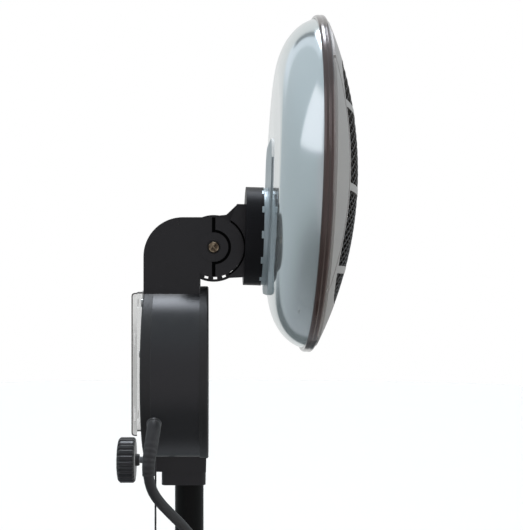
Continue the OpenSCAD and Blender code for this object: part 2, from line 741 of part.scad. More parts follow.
// Folded sheet with keyholes and two plain screw holes, for hanging the heater on a wall.
module wall_bracket() {
  back = bracket_y + bracket_t;
  color([0.35, 0.34, 0.33]) difference() {
    union() {
      slab([-bracket_half, bracket_y, bracket_low], [bracket_half, back, bracket_top]);
      for (s = [-1, 1]) translate([s * (bracket_half - bracket_t / 2), 0, 0])
        slab([-bracket_t / 2, drum_back_y + 3.5, bracket_low], [bracket_t / 2, back, bracket_top]);
      slab([-15, drum_back_y, bracket_top - bracket_t], [15, back, bracket_top]);
      slab([-15, drum_back_y, bracket_top - 20], [15, drum_back_y + bracket_t, bracket_top]);
      slab([-30, drum_back_y, bracket_low], [30, back, bracket_low + bracket_t]);
      slab([-30, drum_back_y, bracket_low], [30, drum_back_y + bracket_t, bracket_low + 16]);
    }
    for (s = [-1, 1]) {
      rod_y(s * keyhole_x, keyhole_z, bracket_y - 1, back + 1, 5);
      rod_y(s * keyhole_x, keyhole_z + keyhole_rise, bracket_y - 1, back + 1, 2.5);
      translate([s * keyhole_x, 0, keyhole_z]) slab([-2.5, bracket_y - 1, 0], [2.5, back + 1, keyhole_rise]);
      rod_y(s * keyhole_x, drum_z - 28, bracket_y - 1, back + 1, 2.5);
    }
    for (z = bracket_screws) {
      rod_y(0, z, drum_back_y - 1, bracket_y - 1, bracket_screw_r + 0.1);
      rod_y(0, z, bracket_y - 1, back + 1, 5);
    }
    for (z = [32, -30]) translate([0, drum_back_y, drum_z + z])
      slab([-bracket_half - 5, 4.7, -6], [bracket_half + 5, 5.9, 6]);
  }
}

module bracket_screw(z) {
  seat = drum_back_y + bracket_t;
  color([0.6, 0.6, 0.6]) difference() {
    union() {
      rod_y(0, z, seat - 10.4, seat, bracket_screw_r);
      rod_y(0, z, seat, seat + 2.3, bracket_screw_r + 1.8);
    }
    cross_recess(0, z, seat + 1.3, 2.4);
  }
}

// Pole socket and clamp

// Block under the drum whose bore drops over the pole's top.
module pole_socket() {
  front = -pole_r - 2.3;
  color([0.06, 0.06, 0.07]) difference() {
    union() {
      difference() {
        slab([-pole_r - 9.3, front, block_low], [pole_r + 9.3, socket_y, drum_z - drum_r + 15]);
        rod_y(0, drum_z, front_seam_y, socket_y + 20, drum_r);
        rod_y(0, drum_z, front - 20, front_seam_y, drum_r + 1);
      }
      translate([0, 4.6, collar_low]) linear_extrude(block_low - collar_low + 1)
        round_rect(pole_r + 5.3, pole_r + 6.5, 4);
      translate([0, 0, collar_low]) cylinder(h = pole_top + 4 - collar_low, r = socket_r);
    }
    translate([0, 0, collar_low - 1]) cylinder(h = pole_top - collar_low + 1, r = bore_r);
    rod_y(0, clamp_z, 5, socket_y + 5, insert_r);
  }
}

// Threaded insert in the socket.
module clamp_insert() {
  color([0.72, 0.58, 0.3]) difference() {
    rod_y(0, clamp_z, socket_y - insert_l, socket_y, insert_r);
    rod_y(0, clamp_z, socket_y - insert_l - 1, socket_y + 1, screw_r + run_gap);
  }
}

// Pad that bears on the pole and doesn't turn.
module clamp_pad() {
  color([0.9, 0.9, 0.86]) rod_y(0, clamp_z, pad_face, pad_back, insert_r - run_gap);
}

// Clamp screw, with grooves where its thread shows.
module clamp_screw() {
  color([0.65, 0.65, 0.66]) difference() {
    rod_y(0, clamp_z, pad_back, knob_y + 9, screw_r);
    for (k = [0 : 5]) translate([0, socket_y + 2.1 + k * thread_pitch, clamp_z]) rotate([90, 0, 0])
      difference() {
        cylinder(h = 0.5, r = screw_r + 1);
        cylinder(h = 0.5, r = screw_r - 0.35);
      }
  }
}

// Fluted knob with a slightly domed face.
module clamp_knob() {
  color([0.06, 0.06, 0.07]) translate([0, knob_y, clamp_z]) rotate([-90, 0, 0]) difference() {
    rotate_extrude() polygon([
      [0, -3.7], [screw_r + 2, -3.7], [screw_r + 2.5, 0], [knob_r - 1.5, 0], [knob_r, 1.5],
      [knob_r, knob_t - 3.4], [knob_r - 2, knob_t - 1.4], [knob_r - 7, knob_t - 0.4], [0, knob_t]]);
    for (a = [0 : 15 : 345]) rotate(a) translate([knob_r + 0.9, 0, -1])
      cylinder(h = knob_t + 2, r = 1.7, $fn = 24);
    translate([0, 0, -5]) cylinder(h = 14, r = screw_r);
  }
}

// Pull cord

// Cord that hangs straight from the switch.
module pull_string() {
  hang = [for (k = [0 : 5]) [pull_x, pull_y, string_top + (string_low - string_top) * k / 5]];
  color([0.1, 0.1, 0.1]) tube(hang, [for (q = hang) string_r], [0, 1, 0], 8, 0, 5);
}

// Turned handle on the end of the pull cord.
module pull_handle() {
  color([0.08, 0.08, 0.08]) translate([pull_x, pull_y, string_low - 18]) difference() {
    rotate_extrude($fn = 48) polygon([[0, 0], [5, 0], [6.4, 1.5], [6.4, 5], [3.6, 20], [2.6, 26], [0, 26]]);
    translate([0, 0, 18]) cylinder(h = 10, r = string_r, $fn = 24);
  }
}

// Stand

module pipe(z0, z1) {
  translate([0, 0, z0]) difference() {
    cylinder(h = z1 - z0, r = pole_r);
    translate([0, 0, -1]) cylinder(h = z1 - z0 + 2, r = pole_r - pole_t);
  }
}

module pole_upper() {
  color([0.06, 0.06, 0.06]) pipe(pole_joint_z, pole_top);
}

module pole_lower() {
  color([0.06, 0.06, 0.06]) pipe(hub_top, pole_joint_z);
}

// Plug inside the two pole lengths.
module pole_coupler() {
  color([0.5, 0.5, 0.5]) translate([0, 0, pole_joint_z - 40]) difference() {
    cylinder(h = 80, r = pole_r - pole_t);
    translate([0, 0, -1]) cylinder(h = 82, r = pole_r - pole_t - 2);
  }
}

// Collar where the pole leaves the base.
module pole_trim() {
  color([0.08, 0.08, 0.08]) translate([0, 0, cover_top]) rotate_extrude() polygon([
    [pole_r, 0], [30, 0], [30, 2], [27, 5], [pole_r + 4.3, 12], [pole_r + 3.3, 17],
    [pole_r + 2.7, 18], [pole_r, 18]]);
}

// Moulded cover over the ballast.
module base_cover() {
  edge = base_r - 3;
  color([0.07, 0.07, 0.07]) translate([0, 0, weight_top]) rotate_extrude($fn = 160) polygon([
    [edge, 3 - weight_top], [base_r, 3 - weight_top], [base_r, -5], [base_r - 1.2, -1.4], [base_r - 4, 0.8],
    [base_r - 30, 5], [120, 11], [70, 15.5], [34, 18], [22, 18], [22, 15], [34, 15], [70, 12.5], [120, 8.2],
    [base_r - 26, 0], [base_r - 10, 0], [edge, -5]]);
}

// Ballast plate, counterbored for the bolt's head.
module base_weight() {
  color([0.3, 0.3, 0.3]) translate([0, 0, foot_h]) difference() {
    cylinder(h = weight_t, r = base_r - 12, $fn = 160);
    translate([0, 0, -1]) cylinder(h = bolt_head_z - foot_h + 1, r = 14);
    translate([0, 0, -1]) cylinder(h = weight_t + 2, r = base_bolt_r);
  }
}

// Turned socket that the pole slips over.
module base_hub() {
  color([0.55, 0.55, 0.55]) translate([0, 0, weight_top]) difference() {
    union() {
      cylinder(h = hub_top - weight_top, r = pole_r + 8.3);
      cylinder(h = 74, r = pole_r - pole_t);
    }
    translate([0, 0, -1]) cylinder(h = 42, r = base_bolt_r);
  }
}

module base_bolt() {
  head = 7.5;
  color([0.6, 0.6, 0.6]) translate([0, 0, bolt_head_z]) {
    translate([0, 0, -head]) linear_extrude(head) hexagon(19);
    translate([0, 0, -e]) cylinder(h = 40, r = base_bolt_r);
  }
}

module foot(a) {
  color([0.1, 0.1, 0.1]) rotate(a) translate([base_r - 30, 0, 0])
    rotate_extrude($fn = 48) polygon([[0, 0], [10, 0], [12, foot_h], [0, foot_h]]);
}

// Clip that holds the lead to the pole at height z.
module cord_clip(z) {
  color([0.06, 0.06, 0.06]) translate([0, 0, z - clip_h / 2]) linear_extrude(clip_h) difference() {
    union() {
      circle(pole_r + 2);
      translate([clip_x, 0]) circle(cord_r + 2);
      translate([clip_x, -3]) square([8, 6]);
    }
    circle(pole_r);
    translate([clip_x, 0]) circle(cord_r + 0.1);
    translate([pole_r - 4, -6]) square([8, 12]);
  }
}

// Mains lead

module cord_gland() {
  color([0.08, 0.08, 0.08]) translate([0, gland_y, drum_z]) rotate([0, -90 - gland_a, 0]) {
    translate([0, 0, drum_r - 5]) cylinder(h = 6, r = gland_r);
    translate([0, 0, drum_r]) cylinder(h = gland_ring, r = gland_r + 1.4);
  }
}

// Moulded strain relief, thinner and ribbed towards its end, which stops just short of the free lead.
module cord_boot() {
  line = [for (i = [0 : len(lead) - 1]) lead[i] - (i == boot_end ? run_gap : 0) * way(lead, i)];
  r = [for (i = [0 : len(lead) - 1])
    cord_r + 1.7 - 0.9 * i / boot_end - (i > boot_end - 4 && i % 2 == 0 && i < boot_end ? 0.5 : 0)];
  color([0.06, 0.06, 0.06]) tube(line, r, [0, 1, 0], 12, 0, boot_end);
}

module power_cord() {
  color([0.06, 0.06, 0.06]) tube(lead, [for (q = lead) cord_r], [0, 1, 0], 8, boot_end, len(lead) - 1);
}

module cord_coil() {
  color([0.06, 0.06, 0.06]) tube(coil, [for (q = coil) cord_r], [0, 0, 1], 6, 0, len(coil) - 1);
}

// Round plug with two pins and earth contacts in its sides.
module mains_plug() {
  color([0.07, 0.07, 0.07]) translate(coil[len(coil) - 1]) rotate([0, 90, 0]) {
    difference() {
      rotate_extrude() polygon([
        [0, 0], [5.4, 0], [5.8, 3], [5.2, 3.6], [5.2, 5.4], [6.2, 6], [6.4, 9], [5.6, 9.6], [5.6, 11.4],
        [6.8, 12], [7.4, 20], [12, 28], [18.5, 38], [plug_r, 41], [plug_r, 54], [18.5, 55], [0, 55]]);
      for (s = [-1, 1]) translate([s * (plug_r + 0.5) - 4.5, -3.4, 40]) cube([9, 6.8, 20]);
    }
    for (s = [-1, 1]) translate([0, s * 9.5, 55]) cylinder(h = 19, r = 2.4);
  }
}

head_shell();
back_plate();
rim_band();
front_panel();
side_cap(-1);  // side_cap_left
side_cap(1);  // side_cap_right
guard_mesh();
reflector();
post(1);  // post_upper
post(-1);  // post_lower
quartz_tube(1);  // quartz_tube_upper
quartz_tube(-1);  // quartz_tube_lower
ceramic_cap(-1, 1);  // ceramic_upper_left
ceramic_cap(1, 1);  // ceramic_upper_right
ceramic_cap(-1, -1);  // ceramic_lower_left
ceramic_cap(1, -1);  // ceramic_lower_right
mount_flange();
flange_screw(-1);  // flange_screw_left
flange_screw(1);  // flange_screw_right
tilt_knuckle();
elbow_half(-1);  // elbow_left
elbow_half(1);  // elbow_right
pivot_bolt();
pivot_nut();
drum_body();
drum_front();
drum_back();
cover_screw(-1);  // cover_screw_left
cover_screw(1);  // cover_screw_right
terminal_block();
pull_switch();
wall_bracket();
bracket_screw(bracket_screws[0]);  // bracket_screw_top
bracket_screw(bracket_screws[1]);  // bracket_screw_bottom
pole_socket();
clamp_insert();
clamp_pad();
clamp_screw();
clamp_knob();
pull_string();
pull_handle();
pole_upper();
pole_coupler();
pole_lower();
pole_trim();
base_cover();
base_weight();
base_hub();
base_bolt();
foot(-90);  // foot_front
foot(90);  // foot_back
foot(180);  // foot_left
foot(0);  // foot_right
cord_clip(clip_high);  // clip_upper
cord_clip(clip_low);  // clip_lower
cord_gland();
cord_boot();
power_cord();
cord_coil();
mains_plug();
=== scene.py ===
import math

import bmesh
import bpy
from mathutils import Matrix, Vector


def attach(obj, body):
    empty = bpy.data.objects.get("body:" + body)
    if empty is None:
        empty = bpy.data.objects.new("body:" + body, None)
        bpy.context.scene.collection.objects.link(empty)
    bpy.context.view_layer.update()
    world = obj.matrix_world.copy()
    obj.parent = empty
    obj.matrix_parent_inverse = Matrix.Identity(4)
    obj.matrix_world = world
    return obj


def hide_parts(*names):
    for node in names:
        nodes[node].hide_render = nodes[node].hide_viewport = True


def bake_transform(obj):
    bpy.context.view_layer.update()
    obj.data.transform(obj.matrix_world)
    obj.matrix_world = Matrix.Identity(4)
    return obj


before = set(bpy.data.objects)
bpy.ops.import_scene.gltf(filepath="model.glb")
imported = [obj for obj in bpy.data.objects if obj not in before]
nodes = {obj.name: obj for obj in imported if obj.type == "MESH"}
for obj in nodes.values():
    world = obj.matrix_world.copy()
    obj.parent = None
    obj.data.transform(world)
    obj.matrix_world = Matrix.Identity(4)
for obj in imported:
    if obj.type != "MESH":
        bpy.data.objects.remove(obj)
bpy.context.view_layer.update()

# Studio
# A pale floor and a white backdrop, lit by soft air all round and by two panels, one in front of the
# heater and one overhead. The camera stands level on the heater's right, 0.89 m from the pole.
picture_w, picture_h = 523, 530
axis_px = (213, 274)
focal_px = 1000
camera = bpy.data.objects.new("photo_camera", bpy.data.cameras.new("photo_camera"))
camera.data.sensor_width = 36.0
camera.data.lens = camera.data.sensor_width * focal_px / picture_h
camera.data.shift_x = (picture_w / 2 - axis_px[0]) / picture_h
camera.data.shift_y = (axis_px[1] - picture_h / 2) / picture_h
camera.location = (-0.890, -0.0211, 1.5768)
camera.rotation_euler = (math.radians(90), 0, math.radians(-90))
camera.data.clip_start = 0.02
bpy.context.scene.collection.objects.link(camera)
bpy.context.scene.camera = camera
bpy.context.scene.view_settings.view_transform = "Standard"


def rgb(text):
    """The linear colour of a hexadecimal one, as a tuple of four."""
    parts = [int(text[i : i + 2], 16) / 255 for i in (1, 3, 5)]
    return (*[p / 12.92 if p <= 0.04045 else ((p + 0.055) / 1.055) ** 2.4 for p in parts], 1.0)


def add(tree, kind, feeds=None, **settings):
    """Adds a node. feeds gives its input sockets a value, or the socket that feeds them."""
    new = tree.nodes.new(kind if "Node" in kind else "ShaderNode" + kind)
    for label, value in settings.items():
        setattr(new, label, value)
    for socket, value in (feeds or {}).items():
        if isinstance(value, bpy.types.NodeSocket):
            tree.links.new(value, new.inputs[socket])
        else:
            new.inputs[socket].default_value = value
    return new


def calc(tree, how, *values, clamp=False):
    return add(tree, "Math", dict(enumerate(values)), operation=how, use_clamp=clamp).outputs[0]


def times(tree, mask, *others):
    """A mask multiplied by the others, one after another."""
    for other in others:
        mask = calc(tree, "MULTIPLY", mask, other)
    return mask


def ramp(tree, value, low, high, **settings):
    """Rises from 0 at low to 1 at high, or falls where low is above high."""
    return add(tree, "MapRange", {"Value": value, "From Min": low, "From Max": high}, **settings).outputs[0]


def noise(tree, place, scale, detail):
    return add(tree, "TexNoise", {"Vector": place, "Scale": scale, "Detail": detail}).outputs["Fac"]


def blended(tree, mask, below, above):
    """The colour above, laid over the one below where the mask is."""
    return add(tree, "Mix", {0: mask, 6: below, 7: above}, data_type="RGBA").outputs[2]


def effect(name, output, **inputs):
    """A node group for an effect that several finishes share. Gives its tree, its inputs and the place."""
    tree = bpy.data.node_groups.new(name, "ShaderNodeTree")
    for label, value in inputs.items():
        socket = tree.interface.new_socket(name=label.replace("_", " "), socket_type="NodeSocketFloat")
        socket.default_value = value
    tree.interface.new_socket(name=output, in_out="OUTPUT", socket_type="NodeSocketFloat")
    return tree, add(tree, "NodeGroupInput").outputs, add(tree, "TexCoord").outputs["Object"]


# Patches of a slightly other shade, as any painted or moulded surface has.
mottling, given, place = effect("mottling", "Mask", Scale=18.0, Low=0.35, High=0.7)
cloud = noise(mottling, place, given["Scale"], 4.0)
add(mottling, "NodeGroupOutput", {"Mask": ramp(mottling, cloud, given["Low"], given["High"])})

# Fine grain of a moulding, a powder coat or a casting, as a height.
graining, given, place = effect("graining", "Height", Scale=900.0, Pits=0.3)
fine = noise(graining, place, given["Scale"], 3.0)
pits = add(graining, "TexVoronoi", {"Vector": place, "Scale": given["Scale"]}).outputs["Distance"]
both = add(graining, "Mix", {0: given["Pits"], 2: fine, 3: pits}).outputs[0]
add(graining, "NodeGroupOutput", {"Height": both})

# Rubbed and chipped edges, from the sharpness of the surface broken up by noise.
edging, given, place = effect("edge_wear", "Mask", Start=0.53, Full=0.62, Scale=120.0)
rub = ramp(edging, add(edging, "NewGeometry").outputs["Pointiness"], given["Start"], given["Full"])
chips = ramp(edging, noise(edging, place, given["Scale"], 5.0), 0.42, 0.62)
add(edging, "NodeGroupOutput", {"Mask": times(edging, rub, chips)})

# Dust that settles on what faces up.
dusting, given, place = effect("dusting", "Mask", Amount=0.2, Scale=60.0)
facing = add(dusting, "SeparateXYZ", {"Vector": place.node.outputs["Normal"]}).outputs["Z"]
specks = ramp(dusting, noise(dusting, place, given["Scale"], 6.0), 0.4, 0.75)
settled = times(dusting, ramp(dusting, facing, 0.45, 1.0), specks, given["Amount"])
add(dusting, "NodeGroupOutput", {"Mask": settled})

# Hairline scuffs from handling, which run every way.
scuffing, given, place = effect("scuffing", "Mask", Scale=30.0, Amount=0.5)
hairs = []
for turn in ((0.3, 0.9, 0.2), (1.3, 0.2, 2.1)):
    laid = add(scuffing, "Mapping", {"Vector": place, "Rotation": turn, "Scale": (1.0, 14.0, 14.0)})
    hairs.append(ramp(scuffing, noise(scuffing, laid.outputs[0], given["Scale"], 2.0), 0.66, 0.74))
crossed = calc(scuffing, "MAXIMUM", *hairs)
add(scuffing, "NodeGroupOutput", {"Mask": times(scuffing, crossed, given["Amount"])})

# Straight brushing or rolling marks, as a height. Along is the stretch on each axis.
brushing, given, place = effect("brushing", "Height", Scale=40.0, Along_X=1.0, Along_Y=1.0, Along_Z=1.0)
stretch = add(brushing, "CombineXYZ", {i: given["Along " + axis] for i, axis in enumerate("XYZ")}).outputs[0]
drawn = add(brushing, "Mapping", {"Vector": place, "Scale": stretch}).outputs[0]
add(brushing, "NodeGroupOutput", {"Height": noise(brushing, drawn, given["Scale"], 4.0)})

dust_grey = rgb("#b9b3a8")


def use(tree, group, **values):
    """Places a shared effect in a material, with its own values, and gives what it puts out."""
    feeds = {label.replace("_", " "): value for label, value in values.items()}
    return add(tree, "Group", feeds, node_tree=group).outputs[0]


def finish(name, colour, other, rough, metallic=0.0, patch=18.0, grain=None, wear=None, dust=0.0,
           scuffs=0.0, brush=None, **sockets):
    """A finish whose colour and roughness drift in patches, with grain, brushing, wear and dust.

    rough is (smooth patches, dull ones), grain is (scale, pits, depth), wear is (colour, start, full)
    and brush is (scale, along x, along y, along z, depth).
    """
    made = bpy.data.materials.new(name)
    made.use_nodes = True
    tree = made.node_tree
    shader = tree.nodes["Principled BSDF"].inputs
    shader["Metallic"].default_value = metallic
    for label, value in sockets.items():
        shader[label.replace("_", " ")].default_value = value
    mask = use(tree, mottling, Scale=patch)
    shade = blended(tree, mask, rgb(colour), rgb(other))
    dull = add(tree, "MapRange", {"Value": mask, "To Min": rough[0], "To Max": rough[1]}).outputs[0]
    if wear:
        shade = blended(tree, use(tree, edging, Start=wear[1], Full=wear[2]), shade, rgb(wear[0]))
    if scuffs:
        dull = calc(tree, "ADD", dull, use(tree, scuffing, Amount=scuffs), clamp=True)
    if dust:
        lying = use(tree, dusting, Amount=dust)
        shade = blended(tree, lying, shade, dust_grey)
        dull = calc(tree, "ADD", dull, lying, clamp=True)
    tree.links.new(shade, shader["Base Color"])
    tree.links.new(dull, shader["Roughness"])
    heights = []
    if brush:
        drawn = use(tree, brushing, Scale=brush[0], Along_X=brush[1], Along_Y=brush[2], Along_Z=brush[3])
        heights.append((drawn, brush[4]))
    if grain:
        heights.append((use(tree, graining, Scale=grain[0], Pits=grain[1]), grain[2]))
    normal = None
    for height, depth in heights:
        bump = add(tree, "Bump", {"Height": height, "Strength": 1.0, "Distance": depth})
        if normal:
            tree.links.new(normal, bump.inputs["Normal"])
        normal = bump.outputs[0]
        tree.links.new(normal, shader["Normal"])
    return made


def shown(name, bm):
    """An object of its own from a bmesh."""
    mesh = bpy.data.meshes.new(name)
    bm.to_mesh(mesh)
    bm.free()
    piece = bpy.data.objects.new(name, mesh)
    bpy.context.scene.collection.objects.link(piece)
    return piece


floor_r = 14.0
bm = bmesh.new()
bmesh.ops.create_circle(bm, cap_ends=True, segments=96, radius=floor_r)
floor = shown("studio_floor", bm)
floor.location.z = -0.0002
floor.data.materials.append(finish("studio_paper", "#fffbf4", "#fefaf3", (0.6, 0.7), patch=1.5,
                                   grain=(300.0, 0.2, 0.0002)))
# The paper lies below the picture, so reflections see the studio's own air in its place.
floor.visible_glossy = False

# The room's light. Camera rays see plain white, and reflections see this: a soft gradient from floor to
# ceiling, an oval lit backdrop at +X with a glowing edge and a dark band above and beneath it, a diffuser
# high on each side, and a narrow bright strip overhead.
world = bpy.data.worlds.new("studio_air")
world.use_nodes = True
bpy.context.scene.world = world
air = world.node_tree


def fade(value, low, high, tree=air):
    """Rises softly from 0 at low to 1 at high, or falls where low is above high."""
    return ramp(tree, value, low, high, interpolation_type="SMOOTHSTEP")


oval_mid, oval_half_w, oval_half_h = 0.2, 0.38, 0.66
diffuser_slant = 0.65
x, y, z = add(air, "SeparateXYZ", {"Vector": add(air, "TexCoord").outputs["Generated"]}).outputs
rise = calc(air, "ARCSINE", z)
bearing = calc(air, "ARCTAN2", calc(air, "ABSOLUTE", y), x)
slant = calc(air, "SUBTRACT", bearing, times(air, rise, diffuser_slant))
raised = calc(air, "SUBTRACT", z, oval_mid)
across, upward = times(air, y, 1 / oval_half_w), times(air, raised, 1 / oval_half_h)
reach = calc(air, "SQRT", calc(air, "ADD", times(air, across, across), times(air, upward, upward)))
ahead = (x, 0.0, 0.1)
dark = (0.12, 0.14, 0.15)
diffuser = [(angle, math.radians(low), math.radians(high)) for angle, low, high in
            ((rise, 16, 18), (rise, 62, 50), (slant, 72, 76), (bearing, 156, 148))]
strip = [(z, 0.99, 0.95), (z, 0.80, 0.87), (x, 0.1, 0.22), (y, 0.22, 0.13), (y, -0.18, -0.08)]
# Each light lies over the ones before it, between the edges that its fades give.
lights = [
    ((0.36, 0.38, 0.41), (x, -0.3, 0.9)),  # the floor further off
    ((0.56, 0.55, 0.53), (y, -0.05, -0.5)),  # the wall in front of the heater
    ((0.50, 0.55, 0.575), (rise, -0.75, 0.05)),  # the walls
    ((0.62, 0.69, 0.74), (rise, 0.0, 0.7)),  # the ceiling
    ((0.52, 0.51, 0.54), (x, -0.6, -0.95)),  # the wall at the camera's back
    ((0.86, 0.92, 1.0), (reach, 1.42, 1.36), ahead, (raised, 0.02, 0.2)),  # the oval's glowing edge
    (dark, (reach, 1.16, 1.12), (raised, 0.27, 0.36), ahead),  # the dark band above it
    (dark, (reach, 1.46, 1.38), (raised, -0.22, -0.4), ahead),  # the dark band beneath it
    ((0.78, 0.79, 0.79), (reach, 1.04, 0.94), ahead),  # the oval backdrop
    ((1.28, 1.28, 1.36), *diffuser),
    ((9.0, 9.6, 10.6), *strip),
]
room = (0.15, 0.165, 0.175, 1)
for light, *fades in lights:
    room = blended(air, times(air, *[fade(*edges) for edges in fades]), room, (*light, 1))
lighting = air.nodes["Background"]
air.links.new(room, lighting.inputs["Color"])
white = add(air, "Background", {"Color": (1, 1, 1, 1), "Strength": 1.0})
seen = add(air, "LightPath").outputs["Is Camera Ray"]
either = add(air, "MixShader", {0: seen, 1: lighting.outputs[0], 2: white.outputs[0]})
air.links.new(either.outputs[0], air.nodes["World Output"].inputs["Surface"])

# Two square panels face the head, out of the camera's sight. Reflections show only the one in front.
heart = Vector((0, 0, 1.55))
for name, place, width, watts, colour in (("panel_front", (0.3, -2.6, 2.3), 1.8, 9, "#ffffff"),
                                          ("panel_overhead", (0.2, 0.2, 3.3), 1.6, 10, "#fff6ee")):
    lamp = bpy.data.lights.new(name, "AREA")
    lamp.size = width
    lamp.energy = watts
    lamp.color = rgb(colour)[:3]
    panel = bpy.data.objects.new(name, lamp)
    panel.location = place
    panel.rotation_mode = "QUATERNION"
    panel.rotation_quaternion = (heart - Vector(place)).to_track_quat("-Z", "Y")
    panel.visible_camera = False
    panel.visible_glossy = name == "panel_front"
    bpy.context.scene.collection.objects.link(panel)

# Base: rubber feet, ballast plate, hub and its bolt
# Four rubber pads carry a flat iron plate. The turned steel hub stands on the plate and a bolt from
# below holds it, with its head sunk in the plate. A moulded cover drops over the lot.
base_r = 0.200
foot_h = 0.006
foot_in = 0.030


def moved(x, y, z):
    return Matrix.Translation((x, y, z))


def spun(degrees, axis):
    return Matrix.Rotation(math.radians(degrees), 4, axis)


def rounded(corners, radius, steps=4):
    """A closed outline with its corners rounded. A corner may give its own radius as a third number."""
    line = []
    for i, corner in enumerate(corners):
        here = Vector(corner[:2])
        before, after = Vector(corners[i - 1][:2]) - here, Vector(corners[(i + 1) % len(corners)][:2]) - here
        r = corner[2] if len(corner) > 2 else radius
        angle = before.angle(after)
        if r <= 0 or angle > math.radians(178):
            line.append(here)
            continue
        reach = min(r / math.tan(angle / 2), 0.45 * before.length, 0.45 * after.length)
        a, b = here + before.normalized() * reach, here + after.normalized() * reach
        for k in range(steps + 1):
            t = k / steps
            line.append(a * (1 - t) ** 2 + here * 2 * t * (1 - t) + b * t**2)
    return line


def turns(steps):
    return [2 * math.pi * k / steps for k in range(steps)]


def around(r, turn):
    return r * math.cos(turn), r * math.sin(turn)


def span(bm, rings, closed=False):
    """Joins rings of corners with faces, then the last ring to the first, or caps both ends."""
    for one, other in zip(rings, rings[1:] + rings[:1] if closed else rings[1:]):
        for j in range(len(one)):
            k = (j + 1) % len(one)
            bm.faces.new((one[j], one[k], other[k], other[j]))
    if not closed:
        bm.faces.new(rings[0][::-1])
        bm.faces.new(rings[-1])


def solid(name, bm, place=Matrix.Identity(4)):
    """An object from a bmesh that closes on itself, with its faces turned outwards, put in place."""
    bmesh.ops.recalc_face_normals(bm, faces=bm.faces)
    bm.transform(place)
    return shown(name, bm)


def lathe(name, outline, place=Matrix.Identity(4), steps=128):
    """Turns a closed outline of (radius, height) about the local Z axis, then puts it in place."""
    bm = bmesh.new()
    span(bm, [[bm.verts.new((*around(r, t), h)) for r, h in outline] for t in turns(steps)], True)
    bmesh.ops.remove_doubles(bm, verts=bm.verts, dist=1e-6)
    return solid(name, bm, place)


def smooth(piece, sharp):
    """Shades a piece smooth, apart from the edges that turn by more than sharp degrees."""
    piece.data.polygons.foreach_set("use_smooth", [True] * len(piece.data.polygons))
    piece.data.set_sharp_from_angle(angle=math.radians(sharp))


def fix(piece, slot, body, *stands_for):
    """Fixes a piece to its body, in place of its CAD nodes. Its slot is not used."""
    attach(piece, body)
    if stands_for:
        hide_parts(*stands_for)


def dress(piece, material, slot, body, *stands_for, sharp=32):
    """Shades a piece, gives it its finish and fixes it."""
    piece.data.materials.append(material)
    smooth(piece, sharp)
    fix(piece, slot, body, *stands_for)
    return piece


# Shades a piece smooth, apart from its sharp edges, and drops the normals that it came with.
shading = bpy.data.node_groups.new("smooth_apart_from_edges", "GeometryNodeTree")
for end in ("INPUT", "OUTPUT"):
    shading.interface.new_socket(name="Geometry", in_out=end, socket_type="NodeSocketGeometry")
start = add(shading, "NodeGroupInput").outputs[0]
plain = add(shading, "GeometryNodeSetMeshNormal", {"Mesh": start}).outputs["Mesh"]
fold = add(shading, "GeometryNodeInputMeshEdgeAngle").outputs["Unsigned Angle"]
gentle = add(shading, "FunctionNodeCompare", {0: fold, 1: math.radians(32)}, operation="LESS_THAN").outputs[0]
edges = add(shading, "GeometryNodeSetShadeSmooth", {"Geometry": plain, "Shade Smooth": gentle}, domain="EDGE")
faces = add(shading, "GeometryNodeSetShadeSmooth", {"Geometry": edges.outputs[0]}).outputs[0]
add(shading, "NodeGroupOutput", {0: faces})


def break_edges(piece, edge, sides=2):
    """Rounds a piece's sharp edges a little and shades the rest smooth."""
    weld = piece.modifiers.new("weld", "WELD")
    weld.merge_threshold = 2e-6
    flat = piece.modifiers.new("flat_faces", "DECIMATE")
    flat.decimate_type = "DISSOLVE"
    flat.angle_limit = math.radians(0.4)
    if edge:
        broken = piece.modifiers.new("broken_edges", "BEVEL")
        broken.width = edge
        broken.segments = sides
        broken.limit_method = "ANGLE"
        broken.angle_limit = math.radians(34)
        broken.use_clamp_overlap = True
    piece.modifiers.new("shading", "NODES").node_group = shading
    level = piece.modifiers.new("level_faces", "WEIGHTED_NORMAL")
    level.keep_sharp = True


def keep(material, edge, *names, sides=2):
    """CAD nodes whose shape is right stay, with their edges broken by edge and their finish on them."""
    for name in names:
        for slot in nodes[name].material_slots:
            slot.material = material
        break_edges(nodes[name], edge, sides)


rubber = finish("foot_rubber", "#1b1b1c", "#232324", (0.62, 0.8), grain=(700.0, 0.4, 0.00012), dust=0.3)
foot_line = rounded([(0.0, 0.0, 0), (0.010, 0.0), (0.012, foot_h), (0.0, foot_h, 0)], 0.0008)
for way, turn in (("front", -90), ("back", 90), ("left", 180), ("right", 0)):
    pad = lathe("rubber_pad_" + way, foot_line, spun(turn, "Z") @ moved(base_r - foot_in, 0, 0), 48)
    dress(pad, rubber, "foot_rubber", "stand", "foot_" + way)

iron = finish("black_iron", "#2b2b2c", "#3a3735", (0.5, 0.75), 0.6, 30.0, grain=(500.0, 0.5, 0.0002),
              wear=("#6b655e", 0.55, 0.7))
keep(iron, 0.0008, "base_weight")
bright_steel = finish("zinc_steel", "#a9aaa8", "#8f9190", (0.24, 0.42), 1.0, 60.0,
                      brush=(60.0, 1.0, 1.0, 18.0, 0.00003), scuffs=0.2)
keep(bright_steel, 0.0004, "base_hub", "base_bolt", "pole_coupler")

